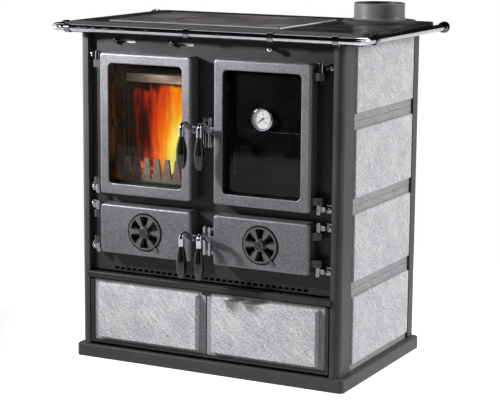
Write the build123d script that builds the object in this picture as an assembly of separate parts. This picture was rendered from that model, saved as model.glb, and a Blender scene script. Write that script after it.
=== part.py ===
from build123d import *
import math
import os

# A free-standing wood cookstove: a firebox with an ash compartment on the left, an oven with
# a warming compartment on the right, a wood drawer below and a cast cooking plate on top.
# Millimetres. X runs to the right seen from the front, Y to the rear, Z up.
# The origin is the middle of the plinth's underside.

# ---- body -------------------------------------------------------------------------------
body_w = 718.0            # across the outsides of the corner posts
body_front = -241.0       # front faces of the corner posts
body_rear = 236.0         # rear faces of the corner posts
hob_h = 854.0             # top of the hob frame above the floor

plinth_h = 32.0
plinth_side = 14.0        # how far the plinth stands out beyond the posts, at the sides,
plinth_front = 6.0        # at the front
plinth_rear = 11.0        # and at the rear
plinth_wall = 4.0
plinth_rib = 40.0
plinth_corner_r = 12.0
plinth_edge_r = 5.0

post_w = 24.0
front_post_d = 68.7
rear_post_d = 34.0
post_t = 6.0
post_r = 18.0

skin_t = 2.0              # sheet of the side and rear casing
skin_inset = 12.0         # side skins in from the outsides of the posts

# ---- stone cladding ---------------------------------------------------------------------
tile_t = 14.0
tile_joint = 1.0
tile_count = 4
tile_trim = 7.6           # top slab of a side lower than the others
tile_step = 8.5           # raised face of a side tile ahead of its flat border
tile_step_run = 3.0       # width of the slope between the two
tile_border = 17.0        # border above and below the raised face
tile_border_side = 7.0    # and beside it
tile_top_gap = 2.0

# ---- front plate ------------------------------------------------------------------------
plate_recess = 17.0       # face of the plate behind the faces of the posts
plate_t = 10.0
plate_foot = 228.0        # lower edge of the plate above the floor
seat_gap = 0.3            # between pieces that are laid against each other

# ---- doors ------------------------------------------------------------------------------
door_w = 257.2
door_mid_gap = 61.8       # between the free edges of the left and the right doors
door_t = 37.4
door_back_gap = 2.0
upper_z = 430.6           # lower edge of the two tall doors
door_head = 57.0          # top of the tall doors below the underside of the hob
lower_z = 280.8           # lower edge of the two low doors
lower_h = 124.9
door_corner_r = 9.0
door_edge_r = 6.0
door_skin = 8.0           # front wall of the low doors

window_side = 25.6        # stile beside the window
window_foot = 28.5
window_head = 26.0
window_r = 11.0
window_edge_r = 3.0

pane_t = 4.0
pane_depth = 20.4         # front of the pane behind the door's front face
pane_lap = 7.0            # pane behind the frame on each side
pane_play = 1.0

clip_reach = 12.0         # clips behind the pane, from its edge
clip_h = 18.0
clip_t = 2.0
clip_head_r = 4.0
clip_head_t = 2.5
clip_heights = (0.16, 0.5, 0.84)                 # as shares of the pane's height

port_side = 16.1          # opening in the front plate inside the door's outline
port_foot = 31.4
port_head = 21.0
port_r = 4.0
low_port_foot = 15.2
low_port_head = 13.7
low_port_r = 2.5

seal_w = 8.0
seal_in = 4.1             # from the door's outline to the rope seal
seal_depth = 3.0
seal_gap = 0.3            # between the rope seal and the front plate, on the shut door

# ---- hinges -----------------------------------------------------------------------------
hinge_out = 15.4          # hinge axis outside the door's edge
hinge_y = -245.0
lug_r = 11.0
lug_h = 18.0
lug_inset = 20.4          # from the door's upper or lower edge to the lug
knuckle_r = 6.5
knuckle_h = 20.0
knuckle_gap = 0.4         # knuckle to lug
pin_r = 3.5
pin_fit = 0.06            # running fit round every pin and shaft
pin_head_r = 5.0
pin_head_h = 3.0
pad_w = 16.0
pad_t = 7.0
pad_out = 14.5            # hinge axis to the near edge of the bracket's pad
arm_lap = 1.5             # bracket's arm runs on over its pad
arm_sink = 2.0            # and into it
screw_head_r = 6.2
screw_head_h = 4.5

# ---- latches ----------------------------------------------------------------------------
latch_x = 24.0            # latch shafts either side of the middle
latch_up = 177.4          # shaft above the lower edge of a tall door
latch_low = 60.2          # and of a low door
shaft_r = 6.5
ear_r = 9.0
ear_d = 17.0
crook_rise = 20.0         # how far the lever's elbow stands above its shaft
crook_run = 50.0          # elbow ahead of the door's front
crook_root = 8.0          # straight shaft ahead of the door before it bends up
crook_slope = 30.0        # run of the rising part
crook_r = 9.75
collar_r = 7.4
collar_h = 17.0
collar_lap = 6.0          # collar over the lever's end
grip_l = 78.0
grip_r = 13.5
grip_neck_r = 6.0
grip_end_r = 6.5
tongue_t = 5.5
tongue_reach = 11.0
tongue_h = 8.0

keeper_x = 7.5            # catch bars either side of the middle
keeper_r = 5.0
keeper_h = 70.0
keeper_drop = 8.5         # middle of the keeper below the latch shaft
keeper_stand = 11.0       # catch bars ahead of the front plate
keeper_base_t = 3.0
keeper_foot = 6.0         # square feet between the bars and the plate

# ---- air registers in the low doors -----------------------------------------------------
register_x = 159.5
register_z = 343.0
register_r = 46.5
register_play = 2.0
register_t = 5.0
register_sink = 3.0
register_rim = 6.5
register_hub_r = 14.0
register_dome = 7.7       # height of the domed hub
port_hub = 3.0            # slots in the door start outside the hub
port_rim = 1.0            # and end inside the rim
register_slots = 6
register_slot_deg = 38.0
port_slot_deg = 20.0
register_pin_r = 5.0
register_nut_r = 9.0
register_nut_t = 5.0
tab_reach = 11.0
tab_w = 9.0
tab_t = 3.0
tab_deg = -52.0

# ---- controls above the doors -----------------------------------------------------------
control_drop = 45.0       # controls below the top of the hob
slot_h = 7.5
slide_slots = ((-268.0, 60.0), (-107.0, 64.0))   # left end and length of each air slot
slide_travel = 45.0
slide_knob_r = 6.0
slide_knob_t = 10.0
slide_knob_gap = 2.0      # knob ahead of the front plate
slide_knob_edge = 1.8
slide_knob_side = 1.0     # knob in from the slot's left end
slide_neck_r = 3.4
slide_plate_h = 15.0
slide_plate_t = 3.0
slide_plate_lap = 2.0     # plate beyond the slot at either end
slide_window = 38.0
slide_window_side = 3.0   # window in from the slot's left end, drawn back by the travel
bypass_x = 171.0
bypass_r = 4.0
bypass_ball_r = 7.5
bypass_stand = 20.0       # ball centre ahead of the front plate

# ---- grille over the wood drawer --------------------------------------------------------
grille_w = 551.0
grille_z = 235.5
grille_h = 7.0
grille_slot = 12.0
grille_pitch = 17.0

# ---- wood drawer ------------------------------------------------------------------------
drawer_gap = 3.5          # drawer front to the posts
drawer_foot = 40.0
drawer_head = 208.0
drawer_panel_t = 4.0
drawer_lip_d = 7.0        # raised rim round the stone
drawer_rim = 8.8
drawer_tile_d = 19.0      # raised face of the stone ahead of the panel
drawer_tile_step = 16.0   # and ahead of the stone's own border
drawer_step_run = 5.0
drawer_border = 6.4       # border above and below the raised face
drawer_border_side = 15.5
drawer_tile_foot = 7.5
drawer_tile_head = 3.7
drawer_tile_joint = 4.0
joint_tab_w = 23.0        # tab over the joint of the two stones
joint_tab_drop = 11.0
joint_tab_t = 2.0
pull_h = 14.5
pull_z = 209.5
pull_t = 4.0
pull_stand = 5.0          # front of the pull ahead of the posts
pull_over = 2.0           # pull laps over each post
drawer_box_side = 17.0    # tray in from the posts
drawer_box_d = 420.0
drawer_box_h = 136.0
drawer_sheet = 2.0
drawer_lift = 4.0         # tray's underside above the lower edge of the drawer's front
runner_w = 30.0
runner_t = 2.5
runner_rear = 10.0        # runners short of the rear casing

# ---- hob --------------------------------------------------------------------------------
hob_w = 796.0
hob_front = -252.0
hob_rear = 246.0
hob_slab = 14.0
hob_skirt = 12.0
hob_skirt_t = 8.0
hob_corner_r = 24.0
hob_nose_d = 36.0         # sloping nose along the front edge
hob_nose_h = 16.0
hob_edge_r = 3.0

plate_x0 = -312.0         # cooking plate's left edge
plate_w = 480.0
plate_y0 = -185.0         # and its front edge
plate_d = 335.0
cook_t = 10.0
cook_proud = 2.0
cook_ledge = 12.0
cook_play = 1.0
cook_r = 10.0
lid_r = 118.0
lid_play = 1.0
lid_ledge = 7.0
lid_lift_r = 14.0
lid_lift_in = 6.0         # dished socket in from the lid's rim

flue_x = 282.0
flue_y = 150.0
flue_r = 64.0             # outside of the spigot: a 130 mm pipe slips over it
flue_wall = 4.0
flue_h = 49.0             # spigot's rim above the hob
flange_r = 92.0
flange_t = 6.0
flue_root_r = 9.0
flue_rim_r = 3.0
flue_throat_r = 54.0      # hole in the hob under the collar

damper_w = 116.0
damper_d = 132.0
damper_t = 3.0
damper_travel = 60.0
damper_arm_t = 4.0
damper_arm_w = 16.0
guide_t = 4.0
guide_ledge = 10.0

# ---- hand rail --------------------------------------------------------------------------
rail_r = 9.0
rail_out = 22.0           # rail's middle outside the hob's sides
rail_front = 25.0         # and ahead of its front
rail_drop = 13.0          # rail's middle below the top of the hob
rail_corner_r = 34.0
rail_end = 2.0            # rail's rear ends short of the hob's rear edge
bracket_w = 14.0
bracket_ring = 3.2
bracket_arm_w = 6.0
bracket_arm_h = 9.0
end_sleeve = 12.0         # sleeve of the end brackets over the rail
end_disc_t = 5.0
bracket_xs = (-368.0, -33.0, 190.0, 356.0)       # front brackets, as they stand on the rail
side_bracket_y = -205.0

# ---- firebox and oven -------------------------------------------------------------------
wall_t = 16.0
fire_side = 4.0           # firebox walls outside the opening behind the door
rib_w = 9.0
rib_pitch = 22.0
rib_start = 34.0          # first rib behind the front plate
rib_d = 5.0
hearth_z = 452.0
hearth_t = 12.0
fire_d = 345.0            # depth of the firebox behind the front plate
fire_head = 70.0          # firebox walls' top edge below the underside of the hob
baffle_t = 10.0
baffle_head = 118.0       # top of the baffle's front edge below the underside of the hob
baffle_drop = 36.0
baffle_set = 60.0
baffle_nose = 20.0        # depth of the front edge
baffle_lip = 14.0         # thickness of the front edge
baffle_thick = 4.0        # extra thickness behind it
retainer_t = 7.0
retainer_set = 9.0
retainer_h = 66.0
retainer_base = 16.0
tooth_count = 7
tooth_pitch = 28.5
tooth_foot = 24.0
tooth_top = 11.0
grate_w = 150.0
grate_d = 180.0
grate_y = -70.0
grate_t = 10.0
grate_bar = 10.0
grate_pitch = 18.75
grate_play = 2.0
grate_ledge = 8.0
grate_rim = 12.0

chassis_z = 284.0
chassis_t = 3.0
divider_x = -22.5
warm_d = 334.0

pan_play = 4.0
pan_d = 320.0
pan_h = 82.0
pan_sheet = 2.0
pan_lift = 1.0
pan_pull_w = 64.0
pan_pull_d = 12.0
pan_pull_h = 10.0
pan_foot_d = 20.0

oven_wall = 3.0
oven_d = 364.0
wire_r = 2.5
oven_levels = (0.177, 0.343, 0.485, 0.66)        # as shares of the oven's height
rack_level = 0.485
ladder_set = 14.0         # ladders in from the oven's front and rear
ladder_over = 20.0        # uprights beyond the highest and lowest levels
rack_wires = 11
rack_play = 5.6
rack_set = 18.0           # rack behind the front plate
rack_rear = 26.0          # and ahead of the oven's rear wall
rack_corner_r = 8.0

# ---- thermometer on the oven glass ------------------------------------------------------
dial_x = 157.0
dial_up = 0.61            # middle of the dial, as a share of the oven's height
dial_r = 27.5
dial_ring = 3.5
dial_depth = 13.0
dial_well = 5.5
dial_stem_r = 5.0
dial_stem_l = 11.0        # stem behind the pane, with its nut
dial_nut_r = 9.0
dial_nut_t = 3.0
dial_edge = 2.0
lens_t = 1.6
lens_set = 0.6            # lens behind the bezel's front
needle_l = 17.0
needle_tail = 5.0
needle_deg = 125.0        # turn of the hand at rest, from upright
needle_w = 2.2
needle_t = 1.0
needle_boss_r = 3.2
needle_pin_r = 1.0
needle_pin_l = 2.6

# ---- planes that follow from the sizes above --------------------------------------------
half_w = body_w / 2
post_in = half_w - post_w
frame_top = hob_h - hob_slab
control_z = hob_h - control_drop
rail_z = hob_h - rail_drop
tile_pitch = (frame_top - tile_top_gap - plinth_h + tile_trim) / tile_count
upper_h = frame_top - door_head - upper_z
oven_floor = upper_z + port_foot
oven_h = upper_h - port_foot - port_head
dial_z = oven_floor + dial_up * oven_h
baffle_z = frame_top - baffle_head
plate_face = body_front + plate_recess
plate_back = plate_face + plate_t
door_back = plate_face - door_back_gap
door_front = door_back - door_t
skin_x = half_w - skin_inset
rear_skin_y = body_rear - post_t
hinge_x = door_mid_gap / 2 + door_w + hinge_out
front_plane = body_front + front_post_d
rear_plane = body_rear - rear_post_d


def block(x0, x1, y0, y1, z0, z1):
    """A box between two corners."""
    box = Box(x1 - x0, y1 - y0, z1 - z0)
    return Pos((x0 + x1) / 2, (y0 + y1) / 2, (z0 + z1) / 2) * box


def prism_x(sketch, x0, x1):
    """A sketch in (Y, Z) drawn out from x0 to x1."""
    return extrude(Plane.YZ.offset(x0) * sketch, amount=x1 - x0, dir=(1, 0, 0))


def prism_y(sketch, y0, y1):
    """A sketch in (X, Z) drawn out from y0 to y1."""
    return extrude(Plane.XZ.offset(-y1) * sketch, amount=y1 - y0, dir=(0, -1, 0))


def prism_z(sketch, z0, z1):
    """A sketch in (X, Y) drawn out from z0 to z1."""
    return extrude(Plane.XY.offset(z0) * sketch, amount=z1 - z0, dir=(0, 0, 1))


def rod_x(x0, x1, y, z, r):
    return prism_x(Pos(y, z) * Circle(r), x0, x1)


def rod_y(x, y0, y1, z, r):
    return prism_y(Pos(x, z) * Circle(r), y0, y1)


def rod_z(x, y, z0, z1, r):
    return prism_z(Pos(x, y) * Circle(r), z0, z1)


def panel(x0, x1, z0, z1, r):
    """A rounded rectangle in (X, Z)."""
    return Pos((x0 + x1) / 2, (z0 + z1) / 2) * RectangleRounded(x1 - x0, z1 - z0, r)


def plan(x0, x1, y0, y1, r):
    """A rounded rectangle in (X, Y)."""
    return Pos((x0 + x1) / 2, (y0 + y1) / 2) * RectangleRounded(x1 - x0, y1 - y0, r)


def pipe(points, corner_r, r):
    """A round bar along straight runs with rounded corners."""
    path = FilletPolyline(*points, radius=corner_r)
    return sweep(Plane(origin=path @ 0, z_dir=path % 0) * Circle(r), path=path)


def both(solid):
    """A piece and its mirror image on the other side of the stove."""
    return [solid, mirror(solid, about=Plane.YZ)]


def save(name, *solids):
    pieces = []
    for solid in solids:
        pieces.extend(solid.solids())
    shape = pieces[0] if len(pieces) == 1 else Compound(children=pieces)
    export_step(shape, "parts/" + name + ".step")


# ---- body -------------------------------------------------------------------------------
def base_plinth():
    """A tray with its rim down and a cross of ribs that reach the floor."""
    x1 = half_w + plinth_side
    y0 = body_front - plinth_front
    y1 = body_rear + plinth_rear
    outer = prism_z(plan(-x1, x1, y0, y1, plinth_corner_r), 0, plinth_h)
    outer = fillet(outer.faces().sort_by(Axis.Z)[-1].edges(), plinth_edge_r)
    wall = plinth_wall
    inner_r = plinth_corner_r - wall
    hollow = prism_z(plan(-x1 + wall, x1 - wall, y0 + wall, y1 - wall, inner_r), 0, plinth_h - wall)
    half_rib = plinth_rib / 2
    cross = block(-half_rib, half_rib, y0 + wall / 2, y1 - wall / 2, 0, plinth_h - wall / 2)
    cross += block(-x1 + wall / 2, x1 - wall / 2, -half_rib, half_rib, 0, plinth_h - wall / 2)
    return outer - hollow + cross


def front_post():
    """Folded corner post at the front right: a rounded corner and two flanges."""
    flange_end = plate_face + post_t / 3
    outline = Rectangle(post_w, front_post_d)
    outline = Pos((post_in + half_w) / 2, (body_front + front_plane) / 2) * outline
    hollow = Rectangle(post_w - post_t, front_plane - flange_end)
    outline -= Pos((post_in + half_w - post_t) / 2, (flange_end + front_plane) / 2) * hollow
    corner = outline.vertices().sort_by(Axis.X)[-2:].sort_by(Axis.Y)[0]
    outline = fillet(corner, post_r)
    return prism_z(outline, plinth_h, frame_top)


def rear_post():
    outline = Pos(half_w - post_t / 2, body_rear - rear_post_d / 2) * Rectangle(post_t, rear_post_d)
    outline += Pos((post_in + half_w) / 2, body_rear - post_t / 2) * Rectangle(post_w, post_t)
    corner = outline.vertices().sort_by(Axis.X)[-2:].sort_by(Axis.Y)[-1]
    outline = fillet(corner, post_t * 0.9)
    return prism_z(outline, plinth_h, frame_top)


def casing_panels():
    side = block(skin_x - skin_t, skin_x, plate_face + post_t / 3, rear_skin_y - skin_t,
                 plinth_h, frame_top)
    rear = block(-half_w + post_t + 1, half_w - post_t - 1, rear_skin_y - skin_t, rear_skin_y,
                 plinth_h, frame_top)
    return both(side) + [rear]


def rebated_slab(w, h, depth, step, run, border_w, border_h):
    """A stone slab lying in (X, Y): a raised face with a steep step down to a flat border."""
    base = extrude(Rectangle(w, h), amount=depth - step)
    foot_w = w - 2 * border_w
    foot_h = h - 2 * border_h
    crown = loft([Plane.XY.offset(depth - step) * Rectangle(foot_w, foot_h),
                  Plane.XY.offset(depth) * Rectangle(foot_w - 2 * run, foot_h - 2 * run)])
    return base + crown


def side_stone():
    """Four slabs stacked between the right-hand posts."""
    depth = rear_plane - front_plane - 2 * tile_joint
    face = Plane(origin=(skin_x, 0, 0), x_dir=(0, 1, 0), z_dir=(1, 0, 0))
    slabs = []
    for i in range(tile_count):
        low = plinth_h + i * tile_pitch
        high = low + tile_pitch - tile_joint
        if i == tile_count - 1:
            high = frame_top - tile_top_gap
        slab = rebated_slab(depth, high - low, tile_t, tile_step, tile_step_run,
                            tile_border_side, tile_border)
        slabs.append(face * Pos((front_plane + rear_plane) / 2, (low + high) / 2) * slab)
    return slabs


def door_ends(side):
    """Free edge and hinged edge of a door, in that order."""
    free = side * door_mid_gap / 2
    return free, free + side * door_w


def upper_port(side):
    """Outline in (x0, x1, z0, z1) of the opening behind a tall door."""
    free, hinged = door_ends(side)
    x0, x1 = sorted((free + side * port_side, hinged - side * port_side))
    return x0, x1, oven_floor, oven_floor + oven_h


def lower_port(side):
    free, hinged = door_ends(side)
    x0, x1 = sorted((free + side * port_side, hinged - side * port_side))
    return x0, x1, lower_z + low_port_foot, lower_z + lower_h - low_port_head


def front_plate():
    """The recessed black casting that carries the hinges, keepers and controls."""
    x1 = post_in - seat_gap
    plate = block(-x1, x1, plate_face, plate_back, plate_foot, frame_top)
    for side in (-1, 1):
        plate -= prism_y(panel(*upper_port(side), port_r), plate_face, plate_back)
        plate -= prism_y(panel(*lower_port(side), low_port_r), plate_face, plate_back)
    for left, length in slide_slots:
        plate -= prism_y(panel(left, left + length, control_z - slot_h / 2, control_z + slot_h / 2,
                               slot_h * 0.49), plate_face, plate_back)
    plate -= rod_y(bypass_x, plate_face, plate_back, control_z, bypass_r + pin_fit)
    count = int((grille_w - grille_slot) // grille_pitch) + 1
    start = -(count - 1) * grille_pitch / 2
    for i in range(count):
        x = start + i * grille_pitch
        plate -= block(x - grille_slot / 2, x + grille_slot / 2, plate_face, plate_back,
                       grille_z - grille_h / 2, grille_z + grille_h / 2)
    low = control_z - slide_plate_h / 2 - seat_gap
    high = control_z + slide_plate_h / 2 + seat_gap
    left = slide_slots[0][0] - slide_travel
    right = slide_slots[1][0] + slide_slots[1][1] + slide_travel
    for z in (low - guide_t / 2, high + guide_t / 2):
        plate += block(left, right, plate_back, plate_back + slide_plate_t * 2,
                       z - guide_t / 2, z + guide_t / 2)
    return plate


# ---- doors ------------------------------------------------------------------------------
def door_blank(side, z0, h):
    """Solid door with rounded corners and front edges."""
    x0, x1 = sorted(door_ends(side))
    blank = prism_y(panel(x0, x1, z0, z0 + h, door_corner_r), door_front, door_back)
    return fillet(blank.faces().sort_by(Axis.Y)[0].edges(), door_edge_r)


def seal_ring(side, z0, h, y0, y1):
    """Rope seal behind a door, or its groove, from y0 to y1."""
    x0, x1 = sorted(door_ends(side))
    out = panel(x0 + seal_in, x1 - seal_in, z0 + seal_in, z0 + h - seal_in, door_corner_r)
    gap = seal_in + seal_w
    inner = panel(x0 + gap, x1 - gap, z0 + gap, z0 + h - gap, door_corner_r * 0.4)
    return prism_y(out - inner, y0, y1)


def lug_levels(z0, h):
    """Lower ends of the two hinge lugs of a door."""
    return z0 + lug_inset, z0 + h - lug_inset - lug_h


def add_fittings(door, side, z0, h, latch_z):
    """Hinge lugs on one edge and the latch ear on the other, bored for their pins."""
    free, hinged = door_ends(side)
    axis = side * hinge_x
    back = door_back - seal_depth - 1
    for z in lug_levels(z0, h):
        x0, x1 = sorted((axis, hinged - side * seal_in / 2))
        lug = rod_z(axis, hinge_y, z, z + lug_h, lug_r)
        lug += block(x0, x1, hinge_y - lug_r, min(hinge_y + lug_r, back), z, z + lug_h)
        door += lug - rod_z(axis, hinge_y, z, z + lug_h, pin_r + pin_fit)
        door -= rod_z(axis, hinge_y, z, z + lug_h, pin_r + pin_fit)
    shaft_x = side * latch_x
    y0 = door_back - ear_d - tongue_t - 2 * keeper_r
    ear = rod_y(shaft_x, y0, y0 + ear_d, latch_z, ear_r)
    x0, x1 = sorted((shaft_x, free + side * seal_in))
    ear += block(x0, x1, y0, y0 + ear_d, latch_z - ear_r, latch_z + ear_r)
    door += ear
    return door - rod_y(shaft_x, y0, y0 + ear_d, latch_z, shaft_r + pin_fit)


def window_outline(side):
    x0, x1 = sorted(door_ends(side))
    return x0 + window_side, x1 - window_side, upper_z + window_foot, upper_z + upper_h - window_head


def pane_outline(side):
    x0, x1, z0, z1 = window_outline(side)
    return x0 - pane_lap, x1 + pane_lap, z0 - pane_lap, z1 + pane_lap


def glazed_door(side):
    """Tall door: a stout frame with a rebate for the pane."""
    frame = door_blank(side, upper_z, upper_h)
    window = window_outline(side)
    cut = prism_y(panel(*window, window_r), door_front, door_back)
    frame -= cut
    rim = frame.faces().sort_by(Axis.Y)[0].inner_wires()[0].edges()
    frame = fillet(rim, window_edge_r)
    x0, x1, z0, z1 = pane_outline(side)
    play = pane_play
    rebate = panel(x0 - play, x1 + play, z0 - play, z1 + play, window_r)
    frame -= prism_y(rebate, door_front + pane_depth, door_back)
    frame -= seal_ring(side, upper_z, upper_h, door_back - seal_depth, door_back)
    return add_fittings(frame, side, upper_z, upper_h, upper_z + latch_up)


def pane(side):
    y0 = door_front + pane_depth
    glass = prism_y(panel(*pane_outline(side), window_r), y0, y0 + pane_t)
    if side > 0:
        glass -= rod_y(dial_x, y0, y0 + pane_t, dial_z, dial_stem_r + pin_fit)
    return glass


def pane_clips(side):
    """Six turned clips that hold the pane in its rebate from behind."""
    x0, x1, z0, z1 = pane_outline(side)
    y0 = door_front + pane_depth + pane_t
    clips = []
    for x, out in ((x0, -1), (x1, 1)):
        inner, outer = sorted((x - out * clip_reach, x + out * pane_play))
        for z in (z0 + (z1 - z0) * k for k in clip_heights):
            clip = block(inner, outer, y0, y0 + clip_t, z - clip_h / 2, z + clip_h / 2)
            head_y = y0 + clip_t + clip_head_t
            clips.append(clip + rod_y(x - out * clip_head_r, y0 + clip_t, head_y, z, clip_head_r))
    return clips


def low_door(side):
    """Low door: a shallow cast box with a round air register in its front wall."""
    door = door_blank(side, lower_z, lower_h)
    x0, x1, z0, z1 = lower_port(side)
    door -= prism_y(panel(x0, x1, z0, z1, window_r / 2), door_front + door_skin, door_back)
    x = side * register_x
    door -= rod_y(x, door_front, door_front + register_sink, register_z, register_r + register_play)
    door -= slot_wheel(x, register_hub_r + port_hub, register_r - register_rim - port_rim, port_slot_deg,
                       door_front, door_front + door_skin)
    door -= rod_y(x, door_front, door_front + door_skin, register_z, register_pin_r + pin_fit)
    door -= seal_ring(side, lower_z, lower_h, door_back - seal_depth, door_back)
    return add_fittings(door, side, lower_z, lower_h, lower_z + latch_low)


def door_seal(side, z0, h):
    return seal_ring(side, z0, h, door_back - seal_depth, plate_face - seal_gap)


def slot_wheel(x, r0, r1, width_deg, y0, y1):
    """Ring of sector-shaped cutters about a register's axis."""
    ring = Circle(r1) - Circle(r0)
    half = math.radians(width_deg / 2)
    reach = r1 * 1.5
    sectors = None
    for i in range(register_slots):
        mid = 2 * math.pi * (i + 0.5) / register_slots
        wedge = Polygon((0, 0),
                        (reach * math.cos(mid - half), reach * math.sin(mid - half)),
                        (reach * math.cos(mid + half), reach * math.sin(mid + half)), align=None)
        sector = ring & wedge
        sectors = sector if sectors is None else sectors + sector
    return prism_y(Pos(x, register_z) * sectors, y0, y1)


def register(side):
    """Spoked air wheel with a domed hub, a pivot pin with its nut, and a tab to turn it by."""
    x = side * register_x
    back = door_front + register_sink - seat_gap
    front = back - register_t
    wheel = rod_y(x, front, back, register_z, register_r)
    wheel -= slot_wheel(x, register_hub_r + 1, register_r - register_rim, register_slot_deg,
                        front, back)
    hub = Pos(x, front, register_z) * Sphere(register_hub_r)
    hub &= rod_y(x, front - register_dome, front + 1, register_z, register_hub_r)
    wheel += hub
    skin_back = door_front + door_skin + seat_gap
    wheel += rod_y(x, back - 1, skin_back + 1, register_z, register_pin_r)
    wheel += rod_y(x, skin_back, skin_back + register_nut_t, register_z, register_nut_r)
    tab = Rectangle(tab_reach + register_rim, tab_w)
    tab = Pos(register_r + (tab_reach - register_rim) / 2, 0) * tab
    tab = Pos(x, register_z) * Rot(0, 0, tab_deg) * tab
    wheel += prism_y(tab, front - tab_t / 2, front + tab_t / 2)
    return wheel


# ---- hinges and latches -----------------------------------------------------------------
def hinge_levels():
    """Side, lower end of the lug, and whether the knuckle stands above (1) or below (-1) it."""
    for side in (-1, 1):
        for z0, h in ((upper_z, upper_h), (lower_z, lower_h)):
            low, high = lug_levels(z0, h)
            yield side, low, -1
            yield side, high, 1


def knuckle_span(lug_z, way):
    if way > 0:
        z = lug_z + lug_h + knuckle_gap
        return z, z + knuckle_h
    return lug_z - knuckle_gap - knuckle_h, lug_z - knuckle_gap


def hinge_brackets():
    brackets = []
    for side, lug_z, way in hinge_levels():
        x = side * hinge_x
        z0, z1 = knuckle_span(lug_z, way)
        pad_x = sorted((x + side * pad_out, x + side * (pad_out + pad_w)))
        arm_x = sorted((x, x + side * (pad_out + arm_lap)))
        bracket = block(pad_x[0], pad_x[1], plate_face - pad_t, plate_face, z0, z1)
        lift = knuckle_h * 0.2
        bracket += block(arm_x[0], arm_x[1], hinge_y, plate_face - pad_t + arm_sink, z0 + lift, z1 - lift)
        bracket += rod_z(x, hinge_y, z0, z1, knuckle_r)
        brackets.append(bracket - rod_z(x, hinge_y, z0, z1, pin_r))
    return brackets


def hinge_pins():
    pins = []
    for side, lug_z, way in hinge_levels():
        x = side * hinge_x
        z0, z1 = knuckle_span(lug_z, way)
        low = min(z0, lug_z + 1)
        high = max(z1, lug_z + lug_h - 1)
        head = high if way > 0 else low - pin_head_h
        pin = rod_z(x, hinge_y, low, high, pin_r)
        pins.append(pin + rod_z(x, hinge_y, head, head + pin_head_h, pin_head_r))
    return pins


def hinge_screws():
    screws = []
    for side, lug_z, way in hinge_levels():
        x = side * (hinge_x + pad_out + pad_w / 2)
        z0, z1 = knuckle_span(lug_z, way)
        y1 = plate_face - pad_t
        head = rod_y(x, y1 - screw_head_h, y1, (z0 + z1) / 2, screw_head_r)
        screws.append(fillet(head.faces().sort_by(Axis.Y)[0].edges(), screw_head_h * 0.45))
    return screws


def latch_levels():
    return upper_z + latch_up, lower_z + latch_low


def latch_keepers():
    """Between the doors of each row: a small plate with two upright catch bars."""
    keepers = []
    y = plate_face - keeper_stand
    half = keeper_foot / 2
    reach = keeper_x + keeper_r
    for shaft_z in latch_levels():
        z0 = shaft_z - keeper_drop - keeper_h / 2
        z1 = z0 + keeper_h
        keeper = block(-reach, reach, plate_face - keeper_base_t, plate_face, z0, z1)
        for x in (-keeper_x, keeper_x):
            keeper += rod_z(x, y, z0, z1, keeper_r)
            for z in (z0 + keeper_foot, z1 - keeper_foot):
                keeper += block(x - half, x + half, y, plate_face - 1, z - half, z + half)
        keepers.append(keeper)
    return keepers


def elbow_point():
    """Y of the hanging grip's middle."""
    return door_front - crook_run - shaft_r


def latch_lever(side, z):
    """Chrome crook: a shaft through the door's ear, a rising arm, a collar and a tongue."""
    x = side * latch_x
    tongue_y1 = door_back - 2 * keeper_r + tongue_t / 2 + 1
    tongue_y0 = tongue_y1 - tongue_t
    y_bend = door_front - crook_root
    grip_y = elbow_point()
    top = z + crook_rise
    points = [(x, tongue_y1, z), (x, y_bend, z), (x, y_bend - crook_slope, top), (x, grip_y, top),
              (x, grip_y, top - collar_h)]
    bar = pipe(points, crook_r, shaft_r)
    collar_top = top - collar_h + collar_lap
    bar += rod_z(x, grip_y, collar_top - collar_h, collar_top, collar_r)
    nose = block(-tongue_reach - 1, 0, tongue_y0, tongue_y1, z - tongue_h / 2, z + tongue_h / 2)
    nose &= rod_y(0, tongue_y0, tongue_y1, z, tongue_reach)
    return bar + Pos(x, 0, 0) * (nose if side > 0 else mirror(nose, about=Plane.YZ))


def latch_grip(side, z):
    """Turned black teardrop that hangs below the collar."""
    top = z + crook_rise - 2 * collar_h + collar_lap
    outline = Spline((grip_neck_r, 0), (grip_r * 0.86, -grip_l * 0.3), (grip_r, -grip_l * 0.52),
                     (grip_r * 0.84, -grip_l * 0.8), (grip_end_r, -grip_l))
    core = Polyline((grip_end_r, -grip_l), (0, -grip_l), (0, 0), (grip_neck_r, 0))
    profile = make_face([*outline.edges(), *core.edges()])
    body = revolve(Plane.XZ * profile, Axis.Z)
    return Pos(side * latch_x, elbow_point(), top) * body


# ---- controls ---------------------------------------------------------------------------
def air_slide(left, length):
    """Knob ahead of a slot, its neck, and the plate behind it, whose window meets the slot."""
    y0 = plate_back + seat_gap
    knob_x = left + slide_knob_r + slide_knob_side
    plate = block(left - slide_travel - slide_plate_lap, left + length + slide_plate_lap,
                  y0, y0 + slide_plate_t, control_z - slide_plate_h / 2, control_z + slide_plate_h / 2)
    window_x = left - slide_travel + slide_window_side
    plate -= block(window_x, window_x + slide_window, y0, y0 + slide_plate_t,
                   control_z - slot_h / 2, control_z + slot_h / 2)
    knob_back = plate_face - slide_knob_gap
    neck = rod_y(knob_x, knob_back - 1, y0 + 1, control_z, slide_neck_r)
    knob = rod_y(knob_x, knob_back - slide_knob_t, knob_back, control_z, slide_knob_r)
    return plate + neck + fillet(knob.edges(), slide_knob_edge)


def damper_plane():
    return frame_top - seat_gap - damper_t


def bypass_rod():
    y0 = plate_face - bypass_stand
    rod = rod_y(bypass_x, y0, flue_y - damper_d / 2 + damper_arm_t * 2, control_z, bypass_r)
    return rod + Pos(bypass_x, y0, control_z) * Sphere(bypass_ball_r)


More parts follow.
